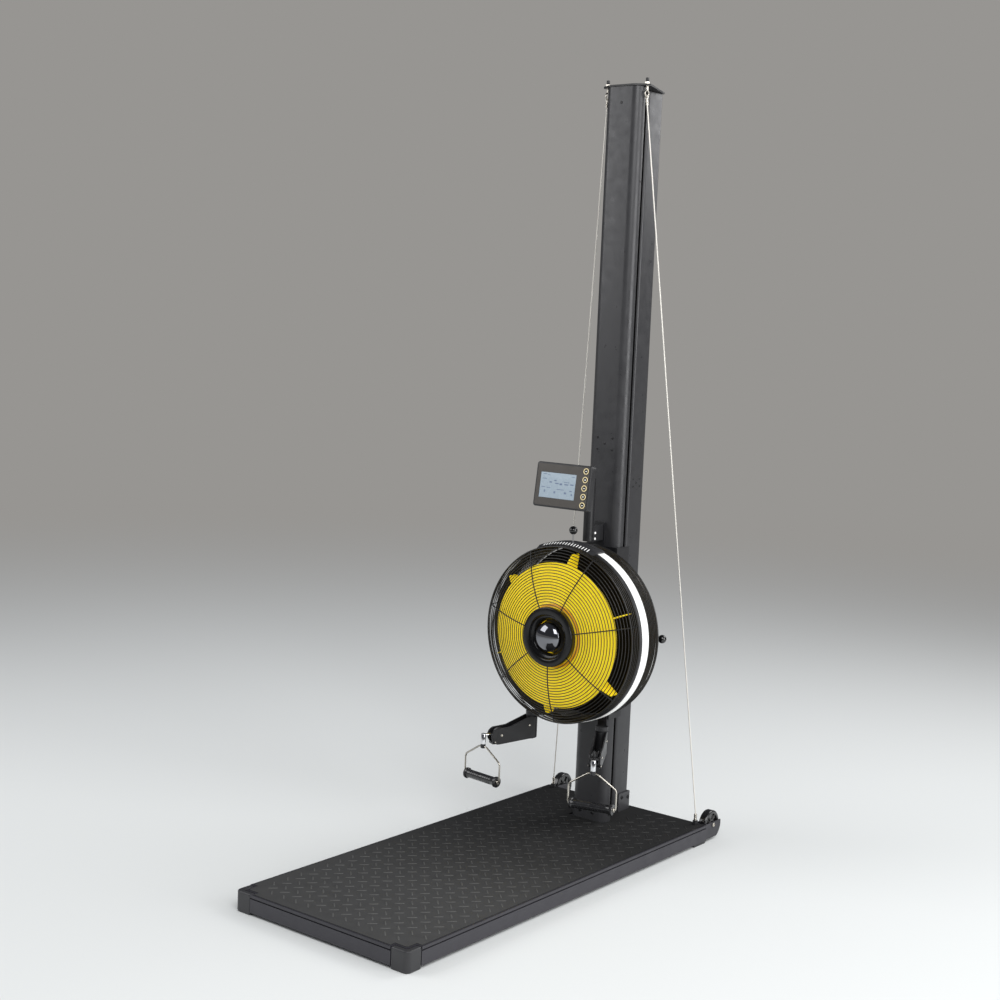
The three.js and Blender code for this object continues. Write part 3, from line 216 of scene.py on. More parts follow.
@dataclass(frozen=True)
class Finish:
    """One finish of the machine: its colour and gloss with fine grain, clouding, smudges and worn edges, and
    where set, painted shade towards the back and a painted glow.
    """

    label: str
    slot: str
    colour: Triple
    rough: float
    metal: float = 0.0
    coat: float = 0.0
    gloss: float = 0.5
    grain: float = 0.12
    grain_scale: float = 1400.0
    grain_depth: float = 0.2 * MM
    mottle: float = 0.08
    mottle_scale: float = 9.0
    smudge: float = 0.08
    smudge_scale: float = 36.0
    wear: float = 0.0
    worn_edges: Pair = (0.52, 0.62)
    # glow: painted light, an emission that makes a finish brighter than the lamps light it
    glow: float = 0.0
    # shade: painted shade, the shares of the piece's depth where the darkening starts and ends, and the
    # share of colour left at the back
    shade: Triple = (0.0, 1.0, 1.0)
    brushed: Triple = (1.0, 1.0, 1.0)

    def material(self) -> bpy.types.Material:
        """Build the finish once and give it again after that.

        Returns:
            The finish as a material.
        """
        label = f"{self.label}_finish"
        made = bpy.data.materials.get(label)
        if made:
            return made
        made = bpy.data.materials.new(label)
        wiring = Wiring(made)
        place = wiring.add("TexCoord", {})
        stretched = wiring.add("Mapping", {"Scale": self.brushed, "Vector": place["Object"]})["Vector"]
        clouds = self._noise(wiring, place["Object"], self.mottle_scale)
        smudges = self._noise(wiring, place["Object"], self.smudge_scale)
        grains = self._noise(wiring, stretched, self.grain_scale)
        clouded = wiring.add("Mix", {"A": self._toned(1 - self.mottle), "B": self._toned(1 + self.mottle),
                                     "Factor": clouds}, data_type="RGBA")["Result"]
        bump = wiring.add("Bump", {"Strength": self.grain, "Distance": self.grain_depth, "Height": grains})
        wiring.fill(made.node_tree.nodes["Principled BSDF"], {
            "Metallic": self.metal,
            "Coat Weight": self.coat,
            "Specular IOR Level": self.gloss,
            "Emission Color": self._toned(1),
            "Emission Strength": self.glow,
            "Roughness": self._smudged(wiring, smudges),
            "Base Color": self._worn(wiring, self._shaded(wiring, place["Generated"], clouded)),
            "Normal": bump["Normal"],
        })
        return made

    def _toned(self, share: float, lift: float = 0.0) -> tuple[float, float, float, float]:
        """The finish's colour times a share and plus a lift, for a colour input."""
        return (*(min(1, value * share + lift) for value in self.colour), 1)

    def _noise(self, wiring: Wiring, place: bpy.types.NodeSocket, scale: float) -> bpy.types.NodeSocket:
        """The value of a soft noise of a given fineness."""
        return wiring.add("TexNoise", {"Scale": scale, "Detail": 3.0, "Vector": place})["Fac"]

    def _smudged(self, wiring: Wiring, smudges: bpy.types.NodeSocket) -> bpy.types.NodeSocket:
        """Spread a noise about the finish's roughness.

        Args:
            wiring: The nodes of the material.
            smudges: The noise's value.

        Returns:
            The roughness.
        """
        low, high = max(0.02, self.rough - self.smudge), min(1.0, self.rough + self.smudge)
        spread = {"From Min": 0.3, "From Max": 0.7, "To Min": low, "To Max": high, "Value": smudges}
        return wiring.add("MapRange", spread)["Result"]

    def _shaded(self, wiring: Wiring, place: bpy.types.NodeSocket,
                colour: bpy.types.NodeSocket) -> bpy.types.NodeSocket:
        """Darken the colour towards the back of the piece, which less light reaches.

        Args:
            wiring: The nodes of the material.
            place: The place within the piece, from 0 to 1 along each axis.
            colour: The plain colour.

        Returns:
            The darkened colour.
        """
        front, back, share = self.shade
        if share == 1:
            return colour
        along = wiring.add("SeparateXYZ", {"Vector": place})["Y"]
        fall = wiring.add("MapRange", {"From Min": front, "From Max": back, "Value": along},
                          interpolation_type="SMOOTHSTEP")["Result"]
        dark = {"A": colour, "B": self._toned(share ** 2.2), "Factor": fall}
        return wiring.add("Mix", dark, data_type="RGBA")["Result"]

    def _worn(self, wiring: Wiring, colour: bpy.types.NodeSocket) -> bpy.types.NodeSocket:
        """Lighten the sharpest edges a little, where hands and shoes rub them.

        Args:
            wiring: The nodes of the material.
            colour: The plain colour.

        Returns:
            The worn colour.
        """
        if not self.wear:
            return colour
        sharp = wiring.add("NewGeometry", {})["Pointiness"]
        low, high = self.worn_edges
        spread = {"From Min": low, "From Max": high, "To Max": self.wear, "Value": sharp}
        edges = wiring.add("MapRange", spread)["Result"]
        worn = {"A": colour, "B": self._toned(3, 0.02), "Factor": edges}
        return wiring.add("Mix", worn, data_type="RGBA")["Result"]


RAIL_PAINT = Finish("rail_paint", "frame_paint", srgb(41, 40, 45), 0.4, 0.1, grain=0.18, wear=0.25)
MAST_PAINT = Finish("mast_paint", "frame_paint", srgb(58, 58, 60), 0.35, 0.25, grain=0.05, wear=0.1)
BLACK_PAINT = Finish("black_paint", "black_paint", srgb(27, 27, 29), 0.38, 0.1, grain=0.16, wear=0.2)
# The mat is painted darker towards the back of the deck, near the mast: painted shade.
MAT_RUBBER = Finish("mat_rubber", "mat_rubber", srgb(57, 57, 57), 0.72, grain=0.35, grain_scale=700,
                    smudge=0.1, shade=(0.2, 0.8, 0.35))
# The bars are the mat's rubber in a lighter copy: a painted highlight where their ridges catch the light,
# plus the mat's painted shade towards the back.
LIT_BAR_RUBBER = Finish("bar_rubber", "mat_rubber", srgb(77, 77, 76), 0.5, grain=0.2, grain_scale=900,
                    wear=0.08, shade=(0.2, 0.8, 0.35))
# Near-black with almost no gloss: painted shade for the shadowed gap between the mast's channel and its
# tube.
PAINTED_SHADE_BLACK = Finish("web_black", "frame_paint", srgb(5, 5, 5), 0.7, gloss=0.05, grain=0.1)
# Near-black with almost no gloss: painted shade for the dark inside of the fan cage.
CAGE_SHADE_BLACK = Finish("cage_black", "cage_wire", srgb(8, 8, 8), 0.7, gloss=0.1, grain=0.1)
# The dome is a darker copy of the chrome: painted shade that dims its reflections.
SHADED_DOME_CHROME = Finish("dome_chrome", "chrome", srgb(128, 129, 134), 0.04, 1.0, grain=0.01, smudge=0.02,
                     mottle=0.02)
CAP_PLASTIC = Finish("cap_plastic", "black_plastic", srgb(46, 46, 48), 0.4, grain=0.3, grain_scale=1100,
                     wear=0.2)
BLACK_PLASTIC = Finish("black_plastic", "black_plastic", srgb(36, 36, 38), 0.45, grain=0.3,
                       grain_scale=1100, wear=0.15)
RING_PLASTIC = Finish("ring_plastic", "black_plastic", srgb(13, 13, 14), 0.2, gloss=0.4, grain=0.08,
                      wear=0.1)
WHEEL_GLOSS = Finish("wheel_gloss", "wheel_rubber", srgb(20, 20, 21), 0.24, coat=0.6, grain=0.15,
                     grain_scale=800)
GRIP_RUBBER = Finish("grip_rubber", "grip_rubber", srgb(29, 29, 31), 0.28, coat=0.5, grain=0.2,
                     grain_scale=1500)
CAGE_WIRE = Finish("cage_wire", "cage_wire", srgb(20, 20, 21), 0.4, coat=0.2, grain=0.08)
# The yellow glows a little: painted light that lifts the disc out of the cage's shadow.
FAN_YELLOW = Finish("fan_yellow", "fan_yellow", srgb(255, 222, 30), 0.42, grain=0.1, mottle=0.03, glow=0.24)
# A darker amber skin on the slope of the fan's boss: painted shade where the hub ring shades the disc; its
# slight glow is painted light.
FAN_SHADE_AMBER = Finish("fan_amber", "fan_yellow", srgb(236, 168, 22), 0.42, grain=0.1, mottle=0.05, glow=0.1)
# The white band glows a little: painted light that makes it brighter than the lamps light it.
WHITE_PLASTIC = Finish("white_plastic", "white_plastic", srgb(252, 252, 250), 0.38, grain=0.1, mottle=0.02,
                       glow=0.12)
# The ticks, button marks and post screws glow: painted light that keeps them bright white.
TICK_WHITE = Finish("tick_white", "white_plastic", srgb(230, 230, 228), 0.5, grain=0.05, glow=0.3)
CHROME = Finish("chrome", "chrome", srgb(226, 227, 230), 0.06, 1.0, grain=0.02, smudge=0.03, mottle=0.02)
STEEL = Finish("steel", "steel", srgb(205, 200, 190), 0.26, 1.0, grain=0.06, brushed=(1, 1, 0.1))
ROPE_STEEL = Finish("rope_steel", "steel", srgb(236, 232, 224), 0.4, 0.3, grain=0.1)
KNOB_GLOSS = Finish("knob_gloss", "knob_gloss", srgb(14, 14, 15), 0.1, coat=0.6, grain=0.02, smudge=0.04)
PANEL_PLASTIC = Finish("panel_plastic", "black_plastic", srgb(68, 64, 60), 0.42, grain=0.2, grain_scale=1300)
SCREEN_FACE = Finish("screen_face", "screen_face", srgb(151, 166, 178), 0.26, coat=0.2, grain=0.02,
                     mottle=0.02)
SCREEN_INK = Finish("screen_ink", "screen_face", srgb(98, 112, 138), 0.4, grain=0.02)
BUTTON_CREAM = Finish("button_cream", "button_gold", srgb(226, 208, 160), 0.4, grain=0.05)
BUTTON_BLACK = Finish("button_black", "button_gold", srgb(24, 24, 25), 0.4, grain=0.1)


def soften(piece: bpy.types.Object, edge: float, crease: float, merge: bool) -> None:
    """Round the sharp edges of a piece and shade the rest smooth.

    Args:
        piece: The object.
        edge: The radius of the rounded edges in metres, or 0 for none.
        crease: The angle in degrees over which an edge counts as sharp.
        merge: Whether flat faces that lie in one plane are joined first.
    """
    piece.data.shade_smooth()
    if merge:
        flat = piece.modifiers.new("flat faces", "DECIMATE")
        flat.decimate_type = "DISSOLVE"
        flat.angle_limit = math.radians(1)
    if not edge:
        piece.data.set_sharp_from_angle(angle=math.radians(crease))
        return
    round_over = piece.modifiers.new("rounded edges", "BEVEL")
    round_over.width = edge
    round_over.segments = 3
    round_over.limit_method = "ANGLE"
    round_over.angle_limit = math.radians(crease)
    round_over.harden_normals = True


def keep(node: str, finish: Finish, edge: float = 0.8 * MM, crease: float = 30) -> None:
    """Keep a piece of the frame as it is and give it a finish and rounded edges.

    Args:
        node: The node's name.
        finish: Its finish.
        edge: The radius of its rounded edges in metres.
        crease: The angle in degrees over which an edge is rounded.
    """
    piece = frame["nodes"][node]
    piece.data.materials.clear()
    piece.data.materials.append(finish.material())
    soften(piece, edge, crease, merge=True)
    LOG.info("kept %s", node)


def show(name: str, data: bpy.types.ID, place: Matrix = Matrix()) -> bpy.types.Object:
    """Add an object to the scene.

    Args:
        name: The object's name.
        data: Its mesh, light or camera.
        place: Where it goes.

    Returns:
        The new object.
    """
    made = bpy.data.objects.new(name, data)
    made.matrix_world = place
    bpy.context.scene.collection.objects.link(made)
    return made


def arc(centre: Pair, radius: float, start: float, end: float, steps: int = 8) -> Outline:
    """Give the points of an arc.

    Args:
        centre: Its centre.
        radius: Its radius.
        start: The angle in degrees where it starts.
        end: The angle in degrees where it ends.
        steps: How many steps it takes.

    Returns:
        The points from start to end.
    """
    angles = [math.radians(start + (end - start) * i / steps) for i in range(steps + 1)]
    return [(centre[0] + radius * math.cos(a), centre[1] + radius * math.sin(a)) for a in angles]


def rounded_box(width: float, height: float, radius: float, steps: int = 6) -> Outline:
    """Give the outline of a rectangle with rounded corners, centred on the origin."""
    x, y = width / 2 - radius, height / 2 - radius
    return [*arc((x, y), radius, 0, 90, steps), *arc((-x, y), radius, 90, 180, steps),
            *arc((-x, -y), radius, 180, 270, steps), *arc((x, -y), radius, 270, 360, steps)]


def bush(bore: float, radius: float, low: float, high: float, chamfer: float = 0.0) -> Outline:
    """Give the turned section of a bush or a plain disc.

    Args:
        bore: The radius of its hole, or 0 for none.
        radius: Its outer radius.
        low: The height where it starts.
        high: The height where it ends.
        chamfer: How far its outer edges are chamfered.

    Returns:
        The section's points of radius and height.
    """
    return [(bore, low), (radius - chamfer, low), (radius, low + chamfer), (radius, high - chamfer),
            (radius - chamfer, high), (bore, high)]


def mirrored(half: Outline) -> Outline:
    """Give a turned section whose other half is the same one, seen the other way up."""
    return half + [(radius, -height) for radius, height in reversed(half)]


class Shaper:
    """Gathers closed forms in one mesh and turns them into a piece of the machine."""

    def __init__(self) -> None:
        """Start with an empty mesh."""
        self.mesh = bmesh.new()

    def loft(self, rings: list[list[Vector]], closed: bool = False) -> "Shaper":
        """Join rings of points with faces.

        Args:
            rings: Rings that all have as many points.
            closed: Whether the last ring joins the first one, and not each its own end face.

        Returns:
            The shaper itself.
        """
        rows = [[self.mesh.verts.new(place) for place in ring] for ring in rings]
        pairs = list(zip(rows, rows[1:]))
        if closed:
            pairs.append((rows[-1], rows[0]))
        else:
            self.mesh.faces.new(rows[0][::-1])
            self.mesh.faces.new(rows[-1])
        for low, high in pairs:
            for i, corner in enumerate(low):
                j = (i + 1) % len(low)
                self.mesh.faces.new((corner, low[j], high[j], high[i]))
        return self

    def turned(self, profile: Outline, place: Matrix, steps: int = 64, start: float = 0.0,
               sweep: float = 360.0) -> "Shaper":
        """Turn a closed outline about the form's own Z.

        Args:
            profile: Points of radius and height, in order round the outline.
            place: Where the form goes.
            steps: How many steps a full turn takes.
            start: The angle in degrees at which a part turn starts.
            sweep: How far it turns in degrees.

        Returns:
            The shaper itself.
        """
        whole = sweep >= 360
        count = max(2, round(steps * sweep / 360))
        rings = []
        for i in range(count if whole else count + 1):
            angle = math.radians(start + sweep * i / count)
            cos, sin = math.cos(angle), math.sin(angle)
            rings.append([place @ Vector((r * cos, r * sin, z)) for r, z in profile])
        return self.loft(rings, closed=whole)

    def hoop(self, radius: float, wire: float, place: Matrix, steps: int = 128, sides: int = 6) -> "Shaper":
        """Bend a round wire to a full ring about the form's own Z."""
        turns = [FULL_TURN * k / sides for k in range(sides)]
        return self.turned([(radius + wire * math.cos(a), wire * math.sin(a)) for a in turns], place, steps)

    def raised(self, outline: Outline, low: float, high: float, place: Matrix = Matrix()) -> "Shaper":
        """Raise a closed outline along the form's own Z.

        Args:
            outline: Points in order round the outline.
            low: The height where it starts.
            high: The height where it ends.
            place: Where the form goes.

        Returns:
            The shaper itself.
        """
        return self.loft([[place @ Vector((x, y, z)) for x, y in outline] for z in (low, high)])

    def milled(self, walls: list[tuple[float, Outline]], place: Matrix, through: tuple = (),
               front: tuple = (), back: tuple = ()) -> "Shaper":
        """Raise a form whose ends have holes and pockets.

        Args:
            walls: The heights along the form's own Z from back to front, each with the outline there.
            place: Where the form goes.
            through: The outlines of the holes that go through.
            front: The pockets of the front end, each an outline and the height of its floor.
            back: The pockets of the back end, each an outline and the height of its floor.

        Returns:
            The shaper itself.
        """
        rows = [self._row(outline, height, place) for height, outline in walls]
        for low, high in zip(rows, rows[1:]):
            self._wall(low, high)
        ends = (walls[0][0], walls[-1][0])
        holes = [[self._row(outline, height, place) for height in ends] for outline in through]
        for low, high in holes:
            self._wall(low, high)
        for end, pockets in ((0, back), (-1, front)):
            rims = [rows[end]] + [hole[end] for hole in holes]
            for outline, floor in pockets:
                rim, bottom = self._row(outline, ends[end], place), self._row(outline, floor, place)
                self._wall(rim, bottom)
                self.mesh.faces.new(bottom)
                rims.append(rim)
            edges = [self.mesh.edges.get((row[i - 1], row[i])) for row in rims for i in range(len(row))]
            bmesh.ops.triangle_fill(self.mesh, use_beauty=True, edges=edges)
        return self

    def _row(self, outline: Outline, height: float, place: Matrix) -> list[bmesh.types.BMVert]:
        """Add the corners of an outline at a height."""
        return [self.mesh.verts.new(place @ Vector((x, y, height))) for x, y in outline]

    def _wall(self, low: list[bmesh.types.BMVert], high: list[bmesh.types.BMVert]) -> None:
        """Join two rows of corners with faces."""
        for i in range(len(low)):
            self.mesh.faces.new((low[i - 1], low[i], high[i], high[i - 1]))

    def slab(self, low: Vector, high: Vector, place: Matrix = Matrix()) -> "Shaper":
        """Add a plain block between two corners."""
        outline = [(low.x, low.y), (high.x, low.y), (high.x, high.y), (low.x, high.y)]
        return self.raised(outline, low.z, high.z, place)

    def rod(self, start: Vector, end: Vector, radius: float, sides: int = 20,
            chamfer: float = 0.0) -> "Shaper":
        """Add a round rod with chamfered ends.

        Args:
            start: The middle of one end.
            end: The middle of the other end.
            radius: Its radius.
            sides: How many sides stand for the round.
            chamfer: How far each end is chamfered.

        Returns:
            The shaper itself.
        """
        return self.turned(bush(0, radius, 0, (end - start).length, chamfer), facing(start, end), sides)

    def tube(self, path: list[Vector], radius: float, sides: int) -> "Shaper":
        """Sweep a round section along a path without twisting it.

        Args:
            path: The points that the tube follows.
            radius: Its radius.
            sides: How many sides the section has.

        Returns:
            The shaper itself.
        """
        turns = [FULL_TURN * k / sides for k in range(sides)]
        across = (path[1] - path[0]).orthogonal().normalized()
        rings = []
        for before, place, after in zip(path[:1] + path, path, path[1:] + path[-1:]):
            along = (after - before).normalized()
            across = (across - along * across.dot(along)).normalized()
            other = along.cross(across)
            rings.append([place + radius * (across * math.cos(a) + other * math.sin(a)) for a in turns])
        return self.loft(rings)

    def ball(self, centre: Vector, radius: float, steps: int = 32) -> "Shaper":
        """Add a ball turned in fine steps."""
        angles = [FULL_TURN * i / steps for i in range(steps // 2 + 1)]
        return self.turned([(radius * math.sin(a), -radius * math.cos(a)) for a in angles],
                           Axis.Z.at(centre), steps)

    def screw(self, head: Vector, outward: Vector, radius: float, height: float) -> "Shaper":
        """Add a domed screw head with a sunk round socket.

        Args:
            head: Where the underside of the head lies.
            outward: The direction that the head faces.
            radius: The radius of the head.
            height: How far it stands out.

        Returns:
            The shaper itself.
        """
        place = facing(head, head + outward)
        socket, deep = 0.5 * radius, 0.45 * height
        profile = [(0, 0), (radius, 0), (radius, 0.35 * height), (0.86 * radius, 0.8 * height),
                   (0.6 * radius, height), (socket, height), (socket, deep), (0, deep)]
        return self.turned(profile, place, steps=24)

    def hexagon(self, base: Vector, outward: Vector, radius: float, height: float) -> "Shaper":
        """Add a six-sided nut with its corners turned down.

        Args:
            base: Where the underside lies.
            outward: The direction that the nut stands in.
            radius: Its radius over the corners.
            height: Its height.

        Returns:
            The shaper itself.
        """
        shoulder = 0.12 * radius
        profile = [(0, 0), (radius, 0), (radius, height - shoulder), (radius - shoulder, height),
                   (0, height)]
        return self.turned(profile, facing(base, base + outward), steps=6)

    def piece(self, name: str, finish: Finish, body: str, replaces: tuple[str, ...] = (), edge: float = 0.0,
              crease: float = 35.0) -> bpy.types.Object:
        """Turn the gathered forms into one piece that rides on a body.

        Args:
            name: The piece's name.
            finish: Its finish.
            body: The body that it rides on.
            replaces: The nodes of the frame that it stands for.
            edge: The radius of its rounded edges in metres, or 0 for none.
            crease: The angle in degrees over which an edge counts as sharp.

        Returns:
            The new object.
        """
        bmesh.ops.remove_doubles(self.mesh, verts=self.mesh.verts, dist=1e-6)
        bmesh.ops.dissolve_degenerate(self.mesh, edges=self.mesh.edges, dist=1e-7)
        bmesh.ops.recalc_face_normals(self.mesh, faces=self.mesh.faces)
        data = bpy.data.meshes.new(name)
        self.mesh.to_mesh(data)
        self.mesh.free()
        data.materials.append(finish.material())
        made = show(name, data)
        soften(made, edge, crease, merge=False)
        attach(made, body)
        if replaces:
            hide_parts(*replaces)
        LOG.info("built %s", name)
        return made


@dataclass(frozen=True)
class Lamp:
    """A soft rectangular lamp that faces the middle of the machine."""

    name: str
    place: Triple
    size: Pair
    power: float
    target: Triple = (0.0, 0.0, 0.8)

    def hang(self) -> None:
        """Hang the lamp in the scene."""
        data = bpy.data.lights.new(self.name, "AREA")
        data.shape = "RECTANGLE"
        data.size, data.size_y = self.size
        data.energy = self.power
        place = Vector(self.place)
        show(self.name, data, facing(place, 2 * place - Vector(self.target)))


@dataclass
class Studio:
    """The camera, the lamps, the floor and the backdrop."""

    camera_place: Triple = (2.579, -3.3855, 1.492)
    yaw: float = 38.23
    pitch: float = 6.12
    roll: float = 2.37
    lens: float = 56.66
    sensor: float = 36.0
    shift: float = 0.01
    floor_radius: float = 60.0
    fade: Pair = (1.4, 8.5)
    near_colour: Triple = srgb(218, 220, 219)
    glossy_colour: Triple = srgb(84, 85, 89)
    far_colour: Triple = srgb(151, 149, 146)
    air_colour: Triple = srgb(226, 228, 232)
    air_strength: float = 0.62
    lamps: tuple[Lamp, ...] = (
        Lamp("key lamp", (2.6, -2.2, 3.4), (2.4, 2.4), 98),
        Lamp("fill lamp", (-2.8, -2.4, 2.8), (2.6, 2.6), 62),
        Lamp("back lamp", (1.4, 3.2, 3.2), (2.2, 2.2), 60),
        Lamp("side lamp", (4.2, 0.6, 1.8), (2.4, 2.6), 90),
    )

    def build(self) -> None:
        """Set up the picture's light, floor and camera."""
        self.camera()
        self.world()
        self.floor()
        for lamp in self.lamps:
            lamp.hang()
        bpy.context.scene.view_settings.view_transform = "Standard"

    def camera(self) -> None:
        """Place the camera where the photograph was taken from."""
        data = bpy.data.cameras.new("camera")
        data.lens = self.lens
        data.sensor_width = self.sensor
        data.shift_x = self.shift
        yaw, pitch, roll = (math.radians(angle) for angle in (self.yaw, self.pitch, self.roll))
        ahead = Vector((-math.sin(yaw) * math.cos(pitch), math.cos(yaw) * math.cos(pitch), -math.sin(pitch)))
        level = Vector((math.cos(yaw), math.sin(yaw), 0))
        upright = level.cross(ahead)
        right = math.cos(roll) * level + math.sin(roll) * upright
        above = -math.sin(roll) * level + math.cos(roll) * upright
        turn = Matrix((right, above, -ahead)).transposed().to_4x4()
        bpy.context.scene.camera = show("camera", data, Matrix.Translation(self.camera_place) @ turn)

    def world(self) -> None:
        """Light the machine evenly, and show the grey backdrop behind it and in its reflections."""
        world = bpy.data.worlds.new("studio")
        bpy.context.scene.world = world
        wiring = Wiring(world)
        nodes = world.node_tree.nodes
        air = wiring.fill(nodes["Background"], {"Color": (*self.air_colour, 1),
                                                "Strength": self.air_strength})
        backdrop = wiring.add("Background", {"Color": (*self.far_colour, 1)})
        mirrored_air = wiring.add("Background", {"Color": (*self.glossy_colour, 1)})
        rays = wiring.add("LightPath", {})
        seen = wiring.add("Math", {0: rays["Is Camera Ray"], 1: rays["Is Transmission Ray"]},
                          operation="MAXIMUM")
        gloss = wiring.add("MixShader", {"Fac": rays["Is Glossy Ray"], 1: air["Background"],
                                         2: mirrored_air["Background"]})
        mix = wiring.add("MixShader", {"Fac": seen["Value"], 1: gloss["Shader"], 2: backdrop["Background"]})
        wiring.fill(nodes["World Output"], {"Surface": mix["Shader"]})

    def floor(self) -> None:
        """Lay the floor, which fades to the colour of the backdrop away from the machine."""
        mesh = bmesh.new()
        bmesh.ops.create_circle(mesh, cap_ends=True, segments=64, radius=self.floor_radius)
        data = bpy.data.meshes.new("studio_floor")
        mesh.to_mesh(data)
        mesh.free()
        material = bpy.data.materials.new("studio_floor")
        wiring = Wiring(material)
        nodes = material.node_tree.nodes
        shader = wiring.fill(nodes["Principled BSDF"], {"Base Color": (*self.near_colour, 1),
                                                        "Roughness": 0.6, "Specular IOR Level": 0.1})
        reach = wiring.add("VectorMath", {0: wiring.add("TexCoord", {})["Object"]}, operation="LENGTH")
        near, far = self.fade
        fade = wiring.add("MapRange", {"From Min": near, "From Max": far, "Value": reach["Value"]},
                          interpolation_type="SMOOTHSTEP")
        glow = wiring.add("Emission", {"Color": (*self.far_colour, 1)})
        mix = wiring.add("MixShader", {"Fac": fade["Result"], 1: shader["BSDF"], 2: glow["Emission"]})
        wiring.fill(nodes["Material Output"], {"Surface": mix["Shader"]})
        data.materials.append(material)
        floor = show("studio_floor", data)


@dataclass
class Deck:
    """The low deck: board, mat with raised bars, rails, corner caps and feet."""

    leg: Pair = (54 * MM, 50 * MM)
    cap_width: float = 16 * MM
    corner: float = 15 * MM
    inner_round: float = 4 * MM
    round_over: float = 5 * MM
    bar_length: float = 26 * MM
    bar_width: float = 4.6 * MM
    bar_height: float = 0.9 * MM
    bar_slope: float = 0.9 * MM
    bar_sunk: float = 0.3 * MM
    pitch_x: float = 43 * MM
    pitch_y: float = 49 * MM
    first_bar: Pair = (-16.4 * MM, -451 * MM)
    columns: range = range(-9, 10)
    rows: range = range(-6, 22)
    border: float = 14 * MM
    lens: tuple[Pair, ...] = ((-1.0, 0.0), (-0.82, -0.8), (0.0, -1.0), (0.82, -0.8), (1.0, 0.0), (0.82, 0.8),
                              (0.0, 1.0), (-0.82, 0.8))

    def build(self) -> None:
        """Build the deck."""
        for node in ("side_rail_left", "side_rail_right", "front_rail", "rear_rail"):
            keep(node, RAIL_PAINT, edge=1.4 * MM)
        keep("deck_board", RAIL_PAINT, edge=0.4 * MM)
        keep("deck_mat", MAT_RUBBER, crease=20)
        for side in Side:
            keep(f"rear_foot_{side}", BLACK_PLASTIC, edge=1.5 * MM)
            self.corner_cap(side)
        self.mat_bars()

    def corner_cap(self, side: Side) -> None:
        """Build a moulded cap that wraps a front corner and stands on the floor.

        Args:
            side: The side it stands on.
        """
        block = Block.of(f"corner_cap_{side}")
        outer = max(abs(block.low.x), abs(block.high.x))
        front = block.low.y
        leg_x, leg_y = self.leg
        inside = outer - self.cap_width
        shelf = front + self.cap_width
        outline = [
            (outer - leg_x, front),
            *arc((outer - self.corner, front + self.corner), self.corner, -90, 0, 16),
            (outer, front + leg_y), (inside, front + leg_y),
            *arc((inside - self.inner_round, shelf + self.inner_round), self.inner_round, 0, -90),
            (outer - leg_x, shelf),
        ]
        cap = Shaper().raised([(side.value * x, y) for x, y in outline], block.low.z, block.high.z)
        cap.piece(f"corner_cap_{side}_moulding", CAP_PLASTIC, "base", (f"corner_cap_{side}",),
                  edge=self.round_over, crease=40)

    def mat_bars(self) -> None:
        """Raise the bars of the mat, in two crossed rows at 45 degrees."""
        mat = Block.of("deck_mat")
        foot = Block.of("mast_foot_collar", "mast_rear_bracket")
        anchors = [Block.of(f"cable_anchor_{side}").centre for side in Side]
        bars = Shaper()
        for turn, shift in ((45, 0.0), (-45, 0.5)):
            start = Vector(self.first_bar) + shift * Vector((self.pitch_x, -self.pitch_y))
            for i in self.columns:
                for j in self.rows:
                    place = Vector((start.x + i * self.pitch_x, start.y + j * self.pitch_y, mat.high.z))
                    if self.is_clear(place, mat, foot, anchors):
                        self.bar(bars, place, turn)
        bars.piece("deck_mat_bars", LIT_BAR_RUBBER, "base", crease=50)

    def is_clear(self, place: Vector, mat: Block, foot: Block, anchors: list[Vector]) -> bool:
        """Say whether a bar lies on the mat, clear of its edges, the mast's foot and the anchors.

        Args:
            place: The middle of the bar.
            mat: The box of the mat.
            foot: The box of the mast's foot.
            anchors: The middles of the cables' anchors.

        Returns:
            Whether the bar has room there.
        """
        reach = self.bar_length / 2 + self.border / 2
        inside = (mat.low.x + reach < place.x < mat.high.x - reach
                  and mat.low.y + reach < place.y < mat.high.y - reach)
        corner = abs(place.x) > mat.high.x - self.leg[0] and place.y < mat.low.y + self.leg[1] + reach
        at_foot = (foot.low.x - reach < place.x < foot.high.x + reach
                   and foot.low.y - reach < place.y < foot.high.y + reach)
        at_anchor = any((place.xy - spot.xy).length < 2 * reach for spot in anchors)
        return inside and not corner and not at_foot and not at_anchor

    def bar(self, bars: Shaper, place: Vector, turn: float) -> None:
        """Add one raised bar, a low lens with sloping sides.

        Args:
            bars: The shaper that gathers them.
            place: The middle of the bar on the mat's face.
            turn: Its angle in degrees.
        """
        length, width = self.bar_length / 2, self.bar_width / 2
        matrix = Matrix.Translation(place) @ Matrix.Rotation(math.radians(turn), 4, "Z")
        rings = []
        for height, slim in ((-self.bar_sunk, 0.0), (0.0, 0.0), (self.bar_height, self.bar_slope)):
            rings.append([matrix @ Vector((x * (length - slim), y * (width - slim), height))
                          for x, y in self.lens])
        bars.loft(rings)


